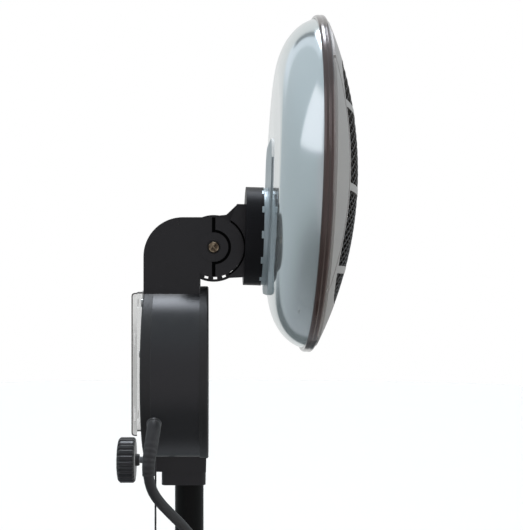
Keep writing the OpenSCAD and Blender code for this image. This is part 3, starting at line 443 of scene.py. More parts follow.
# Base cover and trim collar
# A thin moulded dish hides the ballast. It has a rolled skirt, and a low collar on top of it closes
# the hole that the pole comes through. Both are black, with a fine eroded grain.
cover_top = 0.036
skirt = [(0.1965, 0.003), (base_r, 0.003), (base_r, 0.013), (0.1988, 0.0166), (0.196, 0.0188)]
top_line = [(0.188, 0.0203), (0.170, 0.0230), (0.145, 0.0261), (0.120, 0.0290), (0.095, 0.0315),
            (0.070, 0.0335), (0.050, 0.0349), (0.034, 0.0358), (0.0225, cover_top)]
under = [(0.0225, 0.0332), (0.034, 0.0330), (0.070, 0.0305), (0.120, 0.0262), (0.174, 0.0183),
         (0.190, 0.0181), (0.1965, 0.013)]


def eased(points, parts):
    """A smooth line through points of two or three numbers, with parts steps between each pair."""
    line = []
    for i in range(len(points) - 1):
        a, b, c, d = (Vector(points[min(max(i + k, 0), len(points) - 1)]) for k in (-1, 0, 1, 2))
        for k in range(parts):
            t = k / parts
            line.append(0.5 * (2 * b + (c - a) * t + (2 * a - 5 * b + 4 * c - d) * t**2
                               + (3 * b - a - 3 * c + d) * t**3))
    return line + [Vector(points[-1])]


base_moulding = finish("base_moulding", "#171718", "#1a1a1b", (0.44, 0.50), 0.0, 40.0,
                       grain=(1100.0, 0.5, 0.00009), wear=("#3a3938", 0.54, 0.64), dust=0.02)
cover_line = rounded(skirt, 0.001)[:-2] + eased(skirt[-1:] + top_line, 3) + under
dress(lathe("base_dish", cover_line, steps=192), base_moulding, "base_moulding", "stand", "base_cover")
collar_line = rounded([(0.01275, cover_top, 0), (0.030, cover_top, 0), (0.030, 0.038), (0.027, 0.041, 0.003),
                       (0.0170, 0.048, 0.004), (0.0160, 0.053), (0.0154, 0.054), (0.01275, 0.054, 0)], 0.0006)
dress(lathe("trim_collar", collar_line, steps=96), base_moulding, "base_moulding", "stand", "pole_trim")

# Pole
# Two lengths of 25.4 mm steel tube, powder coated black, slip over one plug at their joint. The lower
# one stands on the hub, and two moulded clips hold the lead beside them.
pole_r = 0.0127
pole_t = 0.0012
pole_low, pole_joint, pole_top = 0.022, 0.760, 1.465
coat = finish("pole_paint", "#060606", "#090908", (0.3, 0.42), 0.0, 9.0, grain=(1600.0, 0.6, 0.00003),
              wear=("#5a5856", 0.6, 0.75), scuffs=0.08, Specular_IOR_Level=0.12)
for name, low, high in (("lower", pole_low, pole_joint), ("upper", pole_joint, pole_top)):
    wall = [(pole_r - pole_t, low), (pole_r, low), (pole_r, high), (pole_r - pole_t, high)]
    dress(lathe("tube_" + name, rounded(wall, 0.0004), steps=96), coat, "pole_paint", "stand", "pole_" + name)
keep(base_moulding, 0.0004, "clip_upper", "clip_lower")

# Pole socket and clamp
# The drum's socket drops over the pole's top. A fluted knob drives a threaded rod through a brass
# insert, and a nylon pad at its end bears on the pole, so the drum can be turned and locked.
clamp_z = 1.4114
knob_y = 0.0479
knob_r = 0.020
knob_t = 0.0164
flutes, flute_depth, flute_in = 24, 0.00085, 0.0035
rod_r, thread_depth, rod_taper = 0.003, 0.00042, 0.0003
rod_low, rod_high = 0.0176, knob_y + 0.009
pitch = 0.00125


def tube_mesh(name, line, radius, sides, first=Vector((0, 0, 1))):
    """A tube along a line of points. radius(i, turn) gives each corner's distance from the line."""
    bm = bmesh.new()
    rings = []
    across = first
    for i, point in enumerate(line):
        ahead = (line[min(i + 1, len(line) - 1)] - line[max(i - 1, 0)]).normalized()
        across = (across - across.dot(ahead) * ahead).normalized()
        over = ahead.cross(across)
        corners = [around(radius(i, turn), turn) for turn in turns(sides)]
        rings.append([bm.verts.new(point + a * across + b * over) for a, b in corners])
    span(bm, rings)
    return solid(name, bm)


moulding = finish("black_moulding", "#151416", "#1a191b", (0.38, 0.5), 0.0, 14.0,
                  grain=(1400.0, 0.5, 0.00006), dust=0.05, Specular_IOR_Level=0.4)
keep(moulding, 0.0005, "pole_socket")
brass = finish("clamp_brass", "#b08a45", "#8e6b32", (0.28, 0.45), 1.0, 80.0, grain=(900.0, 0.2, 0.00003))
keep(brass, 0.0002, "clamp_insert")
nylon = finish("pad_nylon", "#e6e3d8", "#d9d4c6", (0.4, 0.55), Subsurface_Weight=0.1)
keep(nylon, 0.0003, "clamp_pad")
along_y = moved(0, 0, clamp_z) @ spun(-90, "X")
rod_steel = finish("rod_steel", "#6f7072", "#55565a", (0.3, 0.45), 1.0, 90.0, grain=(800.0, 0.3, 0.00004))
rod_rows = round((rod_high - rod_low) / pitch * 10)
rod_line = [Vector((0, rod_low + (rod_high - rod_low) * i / rod_rows, clamp_z)) for i in range(rod_rows + 1)]


def threaded(i, turn):
    """The rod's radius, with a groove that climbs by one pitch in each turn."""
    swirl = ((rod_high - rod_low) * i / rod_rows / pitch - turn / (2 * math.pi)) % 1.0
    groove = max(0.0, 1 - abs(swirl - 0.5) * 3.2)
    return rod_r - thread_depth * groove - (rod_taper if i in (0, rod_rows) else 0.0)


rod = tube_mesh("threaded_rod", rod_line, threaded, 32, Vector((1, 0, 0)))
dress(rod, rod_steel, "zinc_steel", "knob", "clamp_screw", sharp=60)

knob_line = rounded([(0.0032, -0.0037), (0.0050, -0.0037), (0.0056, 0.0, 0.0004), (0.0185, 0.0, 0.001),
                     (knob_r, 0.0015, 0.001), (knob_r, knob_t - 0.0034, 0.0015),
                     (knob_r - 0.002, knob_t - 0.0014, 0.0015), (knob_r - 0.006, knob_t - 0.0006, 0.0006),
                     (knob_r - 0.0068, knob_t - 0.0014, 0.0006), (0.004, knob_t - 0.0009, 0.002),
                     (0.0, knob_t - 0.0004, 0), (0.0, 0.009, 0), (0.0032, 0.009, 0)], 0.0005, 5)
knob = lathe("fluted_knob", knob_line, steps=flutes * 12)
# Each flute is drawn in towards the middle of the knob's inner face, so it slopes a little.
for vertex in knob.data.vertices:
    out = math.hypot(vertex.co.x, vertex.co.y)
    if out > knob_r - flute_in:
        wave = math.cos(flutes * math.atan2(vertex.co.y, vertex.co.x))
        depth = flute_depth * max(0.0, -wave) ** 0.7 * min(1.0, (out - knob_r + flute_in) / 0.002)
        vertex.co *= (out - depth) / out
knob.data.transform(along_y @ moved(0, 0, knob_y))
knob_black = finish("knob_moulding", "#141417", "#1b1b1f", (0.3, 0.42), 0.0, 30.0,
                    grain=(1500.0, 0.4, 0.00004), wear=("#3c3c40", 0.52, 0.6), dust=0.05)
dress(knob, knob_black, "knob_moulding", "knob", "clamp_knob", sharp=45)

# Control drum and its covers
# Three black mouldings: a ring with a flat cover at the front and a dished one at the back. Two long
# screws run through pillars and clamp them together. The ring is glossier than the covers.
ring_black = finish("drum_ring", "#131316", "#18181b", (0.30, 0.38), 0.0, 5.0,
                    grain=(1500.0, 0.5, 0.00003), dust=0.03, scuffs=0.06, Specular_IOR_Level=0.55)
cover_black = finish("drum_covers", "#131314", "#181819", (0.40, 0.52), 0.0, 9.0,
                     grain=(1300.0, 0.5, 0.00006), dust=0.05, scuffs=0.06)
keep(ring_black, 0.0004, "drum_body")
keep(cover_black, 0.0006, "drum_front", "drum_back", sides=3)
keep(bright_steel, 0.0002, "cover_screw_left", "cover_screw_right")
# The shell above is a soft mirror that shows the studio alone, so these pieces are kept out of it.
for name in ("drum_body", "drum_front", "drum_back", "pole_socket", "clamp_insert", "cover_screw_left",
             "cover_screw_right", "pull_switch", "cord_gland", "bracket_screw_top", "bracket_screw_bottom",
             "terminal_block"):
    nodes[name].visible_glossy = False
for piece in (knob, rod, bpy.data.objects["tube_upper"]):
    piece.visible_glossy = False

# Mains terminals and pull switch
# A ceramic terminal block takes the lead's wires inside the back cover. The pull switch beside it is
# a small black moulding.
block_white = finish("terminal_moulding", "#dcd8c8", "#d0ccbb", (0.4, 0.55), grain=(900.0, 0.4, 0.00006))
keep(block_white, 0.0006, "terminal_block")
keep(cover_black, 0.0006, "pull_switch")

# Wall bracket
# A folded and punched steel sheet, painted grey, that two screws hold to the drum's back. Its keyholes
# hang the heater on a wall when it isn't on its pole.
sheet_grey = finish("bracket_paint", "#e4e3df", "#dad9d5", (0.16, 0.24), 0.0, 12.0,
                    grain=(1500.0, 0.3, 0.00001), scuffs=0.1, Coat_Weight=0.8, Coat_Roughness=0.04)
cut_edge = finish("bracket_cut_edge", "#2b2927", "#363330", (0.4, 0.5), 0.3, 40.0)
bracket_low, bracket_top, bracket_front, bracket_back = 1.4415, 1.561, 0.03, 0.047
fold_r = 0.003
sheet_most = 0.0014


def worked(name, node):
    """A copy of a CAD node's shape, to work further."""
    bm = bmesh.new()
    bm.from_mesh(nodes[node].data)
    bmesh.ops.remove_doubles(bm, verts=bm.verts, dist=2e-6)
    piece = shown(name, bm)
    piece.data.materials.clear()
    return piece


def settle(piece):
    """Works a piece's modifiers into its mesh."""
    bpy.context.view_layer.update()
    seen = piece.evaluated_get(bpy.context.evaluated_depsgraph_get())
    piece.data = bpy.data.meshes.new_from_object(seen)
    piece.modifiers.clear()


def cut(piece, tool, how="DIFFERENCE"):
    """Cuts a piece with a tool, which is then thrown away."""
    step = piece.modifiers.new("cut", "BOOLEAN")
    step.operation = how
    step.object = tool
    settle(piece)
    bpy.data.objects.remove(tool)


def prism(name, line, low, high, place=Matrix.Identity(4)):
    """A closed outline drawn out from low to high."""
    bm = bmesh.new()
    under = bm.faces.new([bm.verts.new((*p[:2], low)) for p in line])
    grown = bmesh.ops.extrude_face_region(bm, geom=[under])["geom"]
    upper = [v for v in grown if isinstance(v, bmesh.types.BMVert)]
    bmesh.ops.translate(bm, vec=(0, 0, high - low), verts=upper)
    return solid(name, bm, place)


def two_tone(piece, main, second, picks):
    """Gives a piece two finishes. picks says which of its faces take the second one."""
    for material in (main, second):
        piece.data.materials.append(material)
    for polygon in piece.data.polygons:
        polygon.material_index = int(picks(polygon))


def overpaint(material, mask, colour):
    """Lays a colour over a finish's own where the mask is."""
    tree = material.node_tree
    base = tree.nodes["Principled BSDF"].inputs["Base Color"]
    tree.links.new(blended(tree, mask, base.links[0].from_socket, rgb(colour)), base)


# The outline is drawn in Y and Z, and drawn out along X.
side_on = Matrix(((0, 0, 1, 0), (1, 0, 0, 0), (0, 1, 0, 0), (0, 0, 0, 1)))
bracket = worked("folded_bracket", "wall_bracket")
folded = rounded([(bracket_front, bracket_low, 0), (bracket_back, bracket_low), (bracket_back, bracket_top),
                  (bracket_front, bracket_top, 0)], fold_r, 6)
cut(bracket, prism("tool", folded, -0.1, 0.1, side_on), "INTERSECT")
break_edges(bracket, 0.0002)
settle(bracket)

# A dark line of painted shade runs round each side face just inside the folded outline, where the fold and
# the sheet's edge would lie in shade.
fold_shade_line, line_fade = 0.0009, 0.0002
sheet = sheet_grey.node_tree
mid_z = (bracket_top + bracket_low) / 2
round_the_fold = (0, bracket_back - fold_r, bracket_top - mid_z - fold_r)
off = add(sheet, "TexCoord").outputs["Object"]
for how, by in (("MULTIPLY", (0, 1, 1)), ("SUBTRACT", (0, 0, mid_z)), ("ABSOLUTE", (0, 0, 0)),
                ("SUBTRACT", round_the_fold), ("MAXIMUM", (0, 0, 0))):
    off = add(sheet, "VectorMath", {0: off, 1: by}, operation=how).outputs[0]
off = add(sheet, "VectorMath", {0: off}, operation="LENGTH").outputs["Value"]
turned = add(sheet, "SeparateXYZ", {"Vector": add(sheet, "TexCoord").outputs["Normal"]}).outputs["X"]
on_side = fade(calc(sheet, "ABSOLUTE", turned), 0.7, 0.8, sheet)
fold_shade_mask = fade(off, fold_r - fold_shade_line - line_fade, fold_r - fold_shade_line, sheet)
overpaint(sheet_grey, times(sheet, fold_shade_mask, on_side), "#34302e")


def on_cut_edge(polygon):
    """Whether a face of the bracket is as narrow as the sheet and looks neither forward nor back."""
    depths = [bracket.data.vertices[i].co.y for i in polygon.vertices]
    return abs(polygon.normal.y) < 0.3 and max(depths) - min(depths) < sheet_most


two_tone(bracket, sheet_grey, cut_edge, on_cut_edge)
fix(bracket, "bracket_paint", "unit", "wall_bracket")
bracket.visible_glossy = False
keep(bright_steel, 0.0002, "bracket_screw_top", "bracket_screw_bottom")

# Elbow and tilt bolt
# Two hollow halves of black moulding meet in the middle plane, over the drum. Their cheeks hold the
# head's tongue, and a countersunk bolt and a nut clamp it at the angle that is set.
pivot = moved(0, -0.0217, 1.600)
fork_half, fork_edge = 0.028, 0.0004
groove_t, groove_r, slot_half, slack = 0.0024, 0.015, 0.0015, 0.0003
# Near-black painted shade for the faces sunk in the fork's groove and in the knuckle's gap, standing in for
# the shade in these recesses.
painted_recess_shade = finish("groove_painted_shade", "#030303", "#050505", (0.8, 0.9), Specular_IOR_Level=0.05)


def in_groove(polygon):
    """Whether a face of the fork lies in the ring or the slots that are sunk in its cheeks."""
    depth = fork_half - abs(polygon.center.x)
    off = polygon.center - pivot.translation
    near = abs(off.y) < slot_half + slack or math.hypot(off.y, off.z) < groove_r + 2 * slack
    return near and fork_edge < depth < groove_t + slack


for node in ("elbow_left", "elbow_right"):
    half = worked("fork_" + node, node)
    two_tone(half, moulding, painted_recess_shade, in_groove)
    break_edges(half, fork_edge)
    fix(half, "black_moulding", "unit", node)
    half.visible_glossy = False
bolt_bronze = finish("bolt_bronze", "#5a4e40", "#4a4036", (0.2, 0.34), 1.0, 120.0,
                     grain=(900.0, 0.4, 0.00003), wear=("#e2cfae", 0.51, 0.54))
keep(bolt_bronze, 0.0004, "pivot_bolt")
keep(bright_steel, 0.0003, "pivot_nut")

# Knuckle, mount flange and their screws
# The knuckle's tongue turns between the cheeks, and a spring clicks into its windows. The notched cup
# in front of it spreads the load over the shell's back, and two screws hold all to the stiffening plate.
cheek_r, gap_r, gap_floor, gap_open = 0.0258, 0.0277, 0.0225, 0.031
overlap, near = 0.0005, 0.0001
knuckle = worked("tongue_block", "tilt_knuckle")
for low, high in ((gap_floor, gap_open), (-gap_open, -gap_floor)):
    gap = [(cheek_r - overlap, low), (gap_r, low), (gap_r, high), (cheek_r - overlap, high)]
    cut(knuckle, lathe("tool_ring", gap, pivot @ spun(90, "Y"), 96))


def in_gap(polygon):
    """Whether a face of the knuckle lies in the gap that is cut for the fork's cheeks."""
    off = polygon.center - pivot.translation
    return math.hypot(off.y, off.z) < gap_r + near and gap_floor - near < abs(off.x) < fork_half - near


# The gap's faces take the painted shade, standing in for the shade between the knuckle and the fork's cheeks.
two_tone(knuckle, moulding, painted_recess_shade, in_gap)
break_edges(knuckle, 0.0003)
fix(knuckle, "black_moulding", "head", "tilt_knuckle")
flange_black = finish("flange_moulding", "#121214", "#17171a", (0.36, 0.46), 0.0, 14.0,
                      grain=(1500.0, 0.4, 0.00004), dust=0.05, Specular_IOR_Level=0.1)
keep(flange_black, 0.0004, "mount_flange")
keep(bright_steel, 0.0002, "flange_screw_left", "flange_screw_right")
plate_steel = finish("stiffener_steel", "#a3afb3", "#99a5a9", (0.36, 0.46), 0.6, 30.0,
                     brush=(50.0, 14.0, 1.0, 1.0, 0.00001))
keep(plate_steel, 0.0003, "back_plate")
lean, flange_up = 1.7, 0.0114
face = pivot @ spun(90 + lean, "X")
flange_at = face @ moved(0, flange_up, 0)
seat_in, seat_r, seat_low, seat_high = 0.0400, 0.0431, 0.0423, 0.0465
seat = [(seat_in, seat_low), (seat_r, seat_low), (seat_r, seat_high), (seat_in, seat_high)]
dress(lathe("seat_ring", rounded(seat, 0.0002), flange_at, 144), plate_steel, "zinc_steel", "head")
tab_in, tab_r, tab_low, tab_lap, tab_count, tab_turn = 0.0425, 0.0437, 0.0405, 0.0005, 12, math.radians(4.2)
arcs = [(tab_r, j / 4 - 1) for j in range(9)] + [(tab_in, 1), (tab_in, 0), (tab_in, -1)]
tab_line = [around(r, tab_turn * t) for r, t in arcs]
for k in range(tab_count):
    tab = prism("seat_tab_%02d" % (k + 1), tab_line, tab_low, seat_low + tab_lap,
                flange_at @ spun(360 * k / tab_count, "Z"))
    break_edges(tab, 0.0002)
    dress(tab, plate_steel, "zinc_steel", "head")

# Back shell and the plate's turned edge
# Drawn from 1 mm steel sheet: a flat middle, a shallow cone and a deep rounded corner that ends in the
# rim. It is sprayed silver and lacquered, so it mirrors the studio softly.
head_up = 0.0578
disc = face @ moved(0, head_up, 0)
rim_z = 0.0885
shell_back = 0.048
skin_t = 0.001
corner_out, corner_deep = 0.051, 0.0377
flat_r = 0.094
corner_z = rim_z - 0.001
front_back = 0.0032
flat_back_r = 0.060


def corner(inset, parts=48):
    """The shell's corner from its front edge to where its back begins, drawn in by inset."""
    first = math.asin((front_back - 0.001) / (corner_deep - inset))
    angles = [first + (math.pi / 2 - first) * k / parts for k in range(parts + 1)]
    return [(flat_r + (corner_out - inset) * math.cos(t), corner_z - (corner_deep - inset) * math.sin(t))
            for t in angles]


def shell_at(r):
    """Height of the shell's outside at radius r from the head's centre."""
    if r <= flat_r:
        share = max(0.0, r - flat_back_r) / (flat_r - flat_back_r)
        return shell_back + (corner_z - corner_deep - shell_back) * share
    return corner_z - corner_deep * math.sqrt(1 - ((r - flat_r) / corner_out) ** 2)


# The stiffening plate's edge is turned down all round until it meets the curved shell.
plate_half_w, plate_half_h, plate_round, plate_up, plate_back = 0.048, 0.0675, 0.020, 0.0275, 0.0466
turned_t, turned_least, shell_lap = 0.0012, 0.0002, 0.0004
bm = bmesh.new()
rings = []
for inset in (0.0, turned_t):
    w, h = plate_half_w - inset, plate_half_h - inset
    corners = [(-w, plate_up - h), (w, plate_up - h), (w, plate_up + h), (-w, plate_up + h)]
    line = rounded(corners, plate_round - inset, 10)
    rings.append([bm.verts.new((p.x, p.y, plate_back)) for p in line])
    meets = [shell_at(math.hypot(p.x, p.y - head_up)) + shell_lap for p in line]
    rings.append([bm.verts.new((p.x, p.y, max(plate_back + turned_least, z))) for p, z in zip(line, meets)])
span(bm, [rings[0], rings[1], rings[3], rings[2]], True)
# Its upper part is painted near white as a painted reflection of the bright backdrop, and beside the flange
# it fades to the bare plate's grey.
edge_glare_paint = finish("plate_edge_glare_paint", "#f2f3f1", "#ebedec", (0.4, 0.5), 0.0, 30.0, Specular_IOR_Level=0.4)
glare_tree = edge_glare_paint.node_tree
height = add(glare_tree, "SeparateXYZ", {"Vector": add(glare_tree, "TexCoord").outputs["Object"]}).outputs["Z"]
overpaint(edge_glare_paint, fade(height, 1.668, 1.640, glare_tree), "#98a4a8")
dress(solid("plate_turned_edge", bm, face), edge_glare_paint, "zinc_steel", "head")

silver = finish("shell_lacquer", "#cfd8d9", "#c6d0d2", (0.10, 0.14), 0.80, 5.0, grain=(2600.0, 0.2, 0.000006),
                dust=0.04, scuffs=0.03, Coat_Weight=0.4, Coat_Roughness=0.03)
outside = rounded([*corner(0)[:-1], (flat_r, corner_z - corner_deep, 0.02),
                   (flat_back_r, shell_back, 0.012), (0, shell_back, 0)], 0)
inside = [(0, shell_back + skin_t), (flat_back_r, shell_back + skin_t), *corner(skin_t)[::-1]]
shell = lathe("silver_shell", outside + inside, disc, 256)
dress(shell, silver, "shell_paint", "head", "head_shell", sharp=50)

# Rim band
# A rolled steel strip with a bead along its middle. It is sprung over the edges of the shell and the
# front and clamps them together. Its bronze-black enamel is glossy.
enamel = finish("rim_enamel", "#3b2c28", "#453530", (0.14, 0.22), 0.45, 10.0, grain=(2000.0, 0.3, 0.00001),
                wear=("#8a8078", 0.6, 0.75), Coat_Weight=0.8, Coat_Roughness=0.05)
rim_r = 0.1475
lip_r = 0.14425
band_back = 0.0085
band_t = 0.0008
bead = 0.0006
bead_z = 0.0007 - 0.55 * band_back
side = [(rim_r - 0.0045, 0, 0), (rim_r - 0.0013, 0, 0.001), (rim_r - 0.0001, -0.0014, 0.0012),
        (rim_r, bead_z + 0.0008, 0.0006), (rim_r - bead, bead_z, 0.0005), (rim_r, bead_z - 0.0008, 0.0006),
        (rim_r - 0.0002, 0.0016 - band_back, 0.001), (rim_r - 0.0011, -band_back, 0.0010),
        (lip_r, -band_back, 0.0003), (lip_r, band_t - band_back, 0.0002),
        (rim_r - 0.0025, band_t - band_back, 0.0003), (rim_r - 0.0025, -0.0012, 0.0005),
        (rim_r - 0.0045, -0.0012, 0)]
band_line = [(r, rim_z + h) for r, h in rounded(side, 0, 6)]
dress(lathe("rolled_rim", band_line, disc, 256), enamel, "rim_paint", "head", "rim_band", sharp=50)

# Reflector, its posts and the ceramic ends
# A bright aluminium sheet with a trough behind each tube keeps the heat off the shell. It stands on
# two posts. Fired ceramic blocks close the troughs' ends and hold the tubes.
mirror = finish("bright_aluminium", "#d9dadb", "#cfd0d2", (0.10, 0.2), 1.0, 12.0,
                brush=(30.0, 1.0, 16.0, 16.0, 0.00002), scuffs=0.15)
keep(mirror, 0.0, "reflector")
keep(bright_steel, 0.0003, "post_upper", "post_lower")
fired = finish("fired_ceramic", "#e9e4d6", "#dcd5c3", (0.5, 0.7), 0.0, 60.0, grain=(700.0, 0.5, 0.0001))
keep(fired, 0.0008, "ceramic_upper_left", "ceramic_upper_right", "ceramic_lower_left", "ceramic_lower_right",
     sides=3)

# Quartz tubes and heating wire
# Each clear quartz tube holds a coil of resistance wire, stretched between the ceramic ends. Long use
# has turned the wire dull brown-grey.
tube_z = 0.0697
tube_off = 0.036
tube_half = 0.100
quartz = finish("fused_quartz", "#ffffff", "#f3efe8", (0.02, 0.09), 0.0, 40.0, Transmission_Weight=1.0,
                IOR=1.46)
keep(quartz, 0.0, "quartz_tube_upper", "quartz_tube_lower")
wire_grey = finish("oxidised_wire", "#5b5048", "#47413c", (0.45, 0.6), 0.8, 300.0,
                   grain=(2000.0, 0.3, 0.00003))

wire_coil_r = 0.0034
wire_r = 0.00045
wire_half = tube_half - 0.008
wire_turns, wire_parts = 70, 14
for name, up in (("upper", tube_off), ("lower", -tube_off)):
    line = []
    for i in range(wire_turns * wire_parts + 1):
        turn = 2 * math.pi * i / wire_parts
        along = -wire_half + 2 * wire_half * i / (wire_turns * wire_parts)
        line.append(disc @ (Vector((along, up, tube_z)) + Vector((0, *around(wire_coil_r, turn)))))
    wire = tube_mesh("wire_" + name, line, lambda i, turn: wire_r, 6)
    dress(wire, wire_grey, "zinc_steel", "head", sharp=80)

# Front: centre panel and side caps
# Pressed from 1.2 mm steel as a shallow dome in three pieces, which the rim clamps. The centre one has
# two large and two small windows. They are painted satin grey.
dome_r = 0.328304
dome_z = rim_z + 0.035 - dome_r
front_t = 0.0012
front_r, fold_out, fold_in = 0.1450, 0.1428, 0.1415
panel_half = 0.1095
seam = 0.0011
field_w, field_h, field_round = 0.1065, 0.101, 0.050
field_drop = 0.0015
rib_pitch, rib_w, rib_drop = 0.0655, 0.006, 0.009
satin = finish("front_satin", "#989490", "#a19d99", (0.34, 0.44), 0.45, 7.0, grain=(1700.0, 0.4, 0.00003),
               wear=("#b9b6b3", 0.56, 0.68), dust=0.05, scuffs=0.05)


def block(low, high):
    """A plain box to cut with."""
    bm = bmesh.new()
    bmesh.ops.create_cube(bm, size=1.0)
    low, high = Vector(low), Vector(high)
    bm.transform(Matrix.Translation((low + high) / 2) @ Matrix.Diagonal((*(high - low), 1)))
    return shown("tool_block", bm)


def field_outline(more, parts=14):
    """The outline of the windows' field on the head's disc, larger all round by more."""
    line = []
    for x, y, start in ((1, 1, 0), (-1, 1, 90), (-1, -1, 180), (1, -1, 270)):
        middle = Vector((x * (field_w - field_round), y * (field_h - field_round) - field_drop))
        for k in range(parts + 1):
            turn = math.radians(start + 90 * k / parts)
            line.append(middle + Vector(around(field_round + more, turn)))
    return line


def dome_normals(piece):
    """Gives the faces that lie on the dome its true curve, and leaves the cut edges flat."""
    middle = Vector((0, 0, dome_z))
    mesh = piece.data
    normals = []
    for polygon in mesh.polygons:
        for index in polygon.vertices:
            out = (mesh.vertices[index].co - middle).normalized()
            lie = polygon.normal.dot(out)
            normals.append(out if lie > 0.97 else -out if lie < -0.97 else polygon.normal)
    mesh.polygons.foreach_set("use_smooth", [True] * len(mesh.polygons))
    mesh.normals_split_custom_set(normals)


def dome_line(radius, reach, parts=48):
    """A line from the dome's middle out to reach, as (radius, height)."""
    last = math.asin(reach / radius)
    return [(radius * math.sin(last * k / parts), dome_z + radius * math.cos(last * k / parts))
            for k in range(parts + 1)]


front_line = [*dome_line(dome_r, fold_out), (fold_out, rim_z - front_t), (front_r, rim_z - front_t),
              (front_r, rim_z - front_back), (fold_in, rim_z - front_back),
              *dome_line(dome_r - front_t, fold_in)[::-1]]
centre, left, right = [lathe(name, front_line, steps=240)
                       for name in ("satin_centre", "satin_side_left", "satin_side_right")]
far = 0.2
inner, outer = panel_half - seam, panel_half + seam
cut(centre, block((-inner, -far, -far), (inner, far, far)), "INTERSECT")
cut(left, block((-far, -far, -far), (-outer, far, far)), "INTERSECT")
cut(right, block((outer, -far, -far), (far, far, far)), "INTERSECT")
windows = prism("tool_windows", field_outline(0), rim_z - front_back + 0.0025, far)
for k in (-1, 0, 1):
    mid = k * rib_pitch - rib_drop
    cut(windows, block((-far, mid - rib_w / 2, 0), (far, mid + rib_w / 2, 2 * far)))
cut(centre, windows)
for piece, node in ((centre, "front_panel"), (left, "side_cap_left"), (right, "side_cap_right")):
    dome_normals(piece)
    piece.data.transform(disc)
    piece.data.materials.append(satin)
    fix(piece, "front_metal", "head", node)

# Guard mesh
# Two layers of flattened steel wire cross behind the windows and are welded to a strip frame inside
# the front. It stops fingers. The mesh is painted black.
guard_black = finish("guard_paint", "#33302e", "#3d3a37", (0.35, 0.5), 0.5, 60.0,
                     grain=(1500.0, 0.5, 0.00004), wear=("#4b4a49", 0.6, 0.8))
mesh_slope = math.radians(22)
mesh_pitch, mesh_step = 0.00625, 0.005
mesh_rows, mesh_steps, mesh_sides = 24, 36, 8
mesh_r, layer_lift = dome_r - 0.0014, 0.0001
wire_wide, wire_deep = 0.00045, 0.0011
strip_in, strip_out = -0.0002, 0.006
strip_depths = (1.05 * front_t, 2 * front_t)
weld_lap = 0.0015


def on_dome(x, y, radius):
    return Vector((x, y, dome_z + math.sqrt(radius**2 - x**2 - y**2)))


def in_field(x, y, more):
    """Whether a point of the disc lies in the windows' field, larger by more."""
    dx = max(abs(x) - (field_w - field_round), 0)
    dy = max(abs(y + field_drop) - (field_h - field_round), 0)
    return math.hypot(dx, dy) < field_round + more


bm = bmesh.new()
rings = []
for more, depths in ((strip_in, strip_depths), (strip_out, strip_depths[::-1])):
    for depth in depths:
        rings.append([bm.verts.new(on_dome(p.x, p.y, dome_r - depth)) for p in field_outline(more)])
span(bm, rings, True)
for layer in (1, -1):
    slope = layer * mesh_slope
    along = Vector((math.cos(slope), math.sin(slope)))
    aside = Vector((-math.sin(slope), math.cos(slope)))
    for k in range(-mesh_rows, mesh_rows + 1):
        middle = Vector((0, -field_drop)) + aside * k * mesh_pitch
        line = [middle + along * t * mesh_step for t in range(-mesh_steps, mesh_steps + 1)]
        line = [p for p in line if in_field(p.x, p.y, weld_lap)]
        if len(line) < 3:
            continue
        rings = []
        for p in line:
            here = on_dome(p.x, p.y, mesh_r + layer * layer_lift)
            out = (here - Vector((0, 0, dome_z))).normalized()
            over = out.cross(Vector((along.x, along.y, 0))).normalized()
            rings.append([bm.verts.new(here + over * wire_wide * math.cos(t) + out * wire_deep * math.sin(t))
                          for t in turns(mesh_sides)])
        span(bm, rings)
dress(solid("wire_guard", bm, disc), guard_black, "mesh_paint", "head", "guard_mesh", sharp=50)

# Pull cord
# A braided cord hangs from the switch through a hole in the drum, with a turned handle on its end.
# Pulling it steps the heat up.
braid = finish("string_braid", "#1c1c1d", "#2a2a2b", (0.7, 0.9), 0.0, 400.0, grain=(3000.0, 0.5, 0.00008))
string_r = 0.0009
string_x, string_y = -0.036, 0.028
string_top, string_low = 1.452, 1.196
strands = 8
braid_rise = 0.0005
count = round((string_top - string_low) / braid_rise)
hang = [Vector((string_x, string_y, string_top + (string_low - string_top) * i / count))
        for i in range(count + 1)]


def braided(i, turn):
    """The braid's radius, which swells where its strands cross."""
    over = math.sin(strands / 2 * turn + i * 0.7) * math.sin(strands / 2 * turn - i * 0.7)
    return string_r * (0.9 + 0.1 * over)


string = tube_mesh("braided_pull", hang, braided, 24, Vector((0, 1, 0)))
dress(string, braid, "string_braid", "pull", "pull_string", sharp=80)
handle_line = [(0.0, 0.0, 0), (0.0050, 0.0, 0.001), (0.0064, 0.0015, 0.001), (0.0064, 0.0050, 0.002),
               (0.0042, 0.0120, 0.01), (0.0036, 0.020, 0.01), (0.0026, 0.026, 0.0008), (0.0, 0.026, 0)]
hang_at = moved(string_x, string_y, string_low - 0.018)
handle = lathe("turned_handle", rounded(handle_line, 0, 6), hang_at, 64)
dress(handle, moulding, "black_moulding", "pull", "pull_handle")

# Mains lead, strain relief, coil and plug
# A rubber lead leaves the drum through a gland and a ribbed strain relief, runs down the pole through
# two clips and over the base to the floor. Its spare length lies there in a coil with a strap round it.
lead_black = finish("lead_rubber", "#1b1b1d", "#222224", (0.45, 0.6), 0.0, 30.0, grain=(1800.0, 0.4, 0.00004),
                    dust=0.1)
cord_r = 0.00425
drum_r, drum_z = 0.075, 1.490
gland_turn = math.radians(29)
gland_way = Vector((-math.cos(gland_turn), 0, -math.sin(gland_turn)))
gland_y, gland_long = 0.0275, 0.0025
gland_out = Vector((0, gland_y, drum_z)) + (drum_r + gland_long) * gland_way
floor_z = cord_r + 0.0001
coil_x, coil_y = -0.096, 0.312
coil_out, coil_step, coil_rise = 0.0556, 0.0096, 0.0092
coil_in, climb_dip = coil_out - 2 * coil_step, 0.0012
turn_steps, inward, climbing, coil_steps = 24, 48, 12, 102
coil_start = Vector((coil_x - coil_out, coil_y, floor_z))
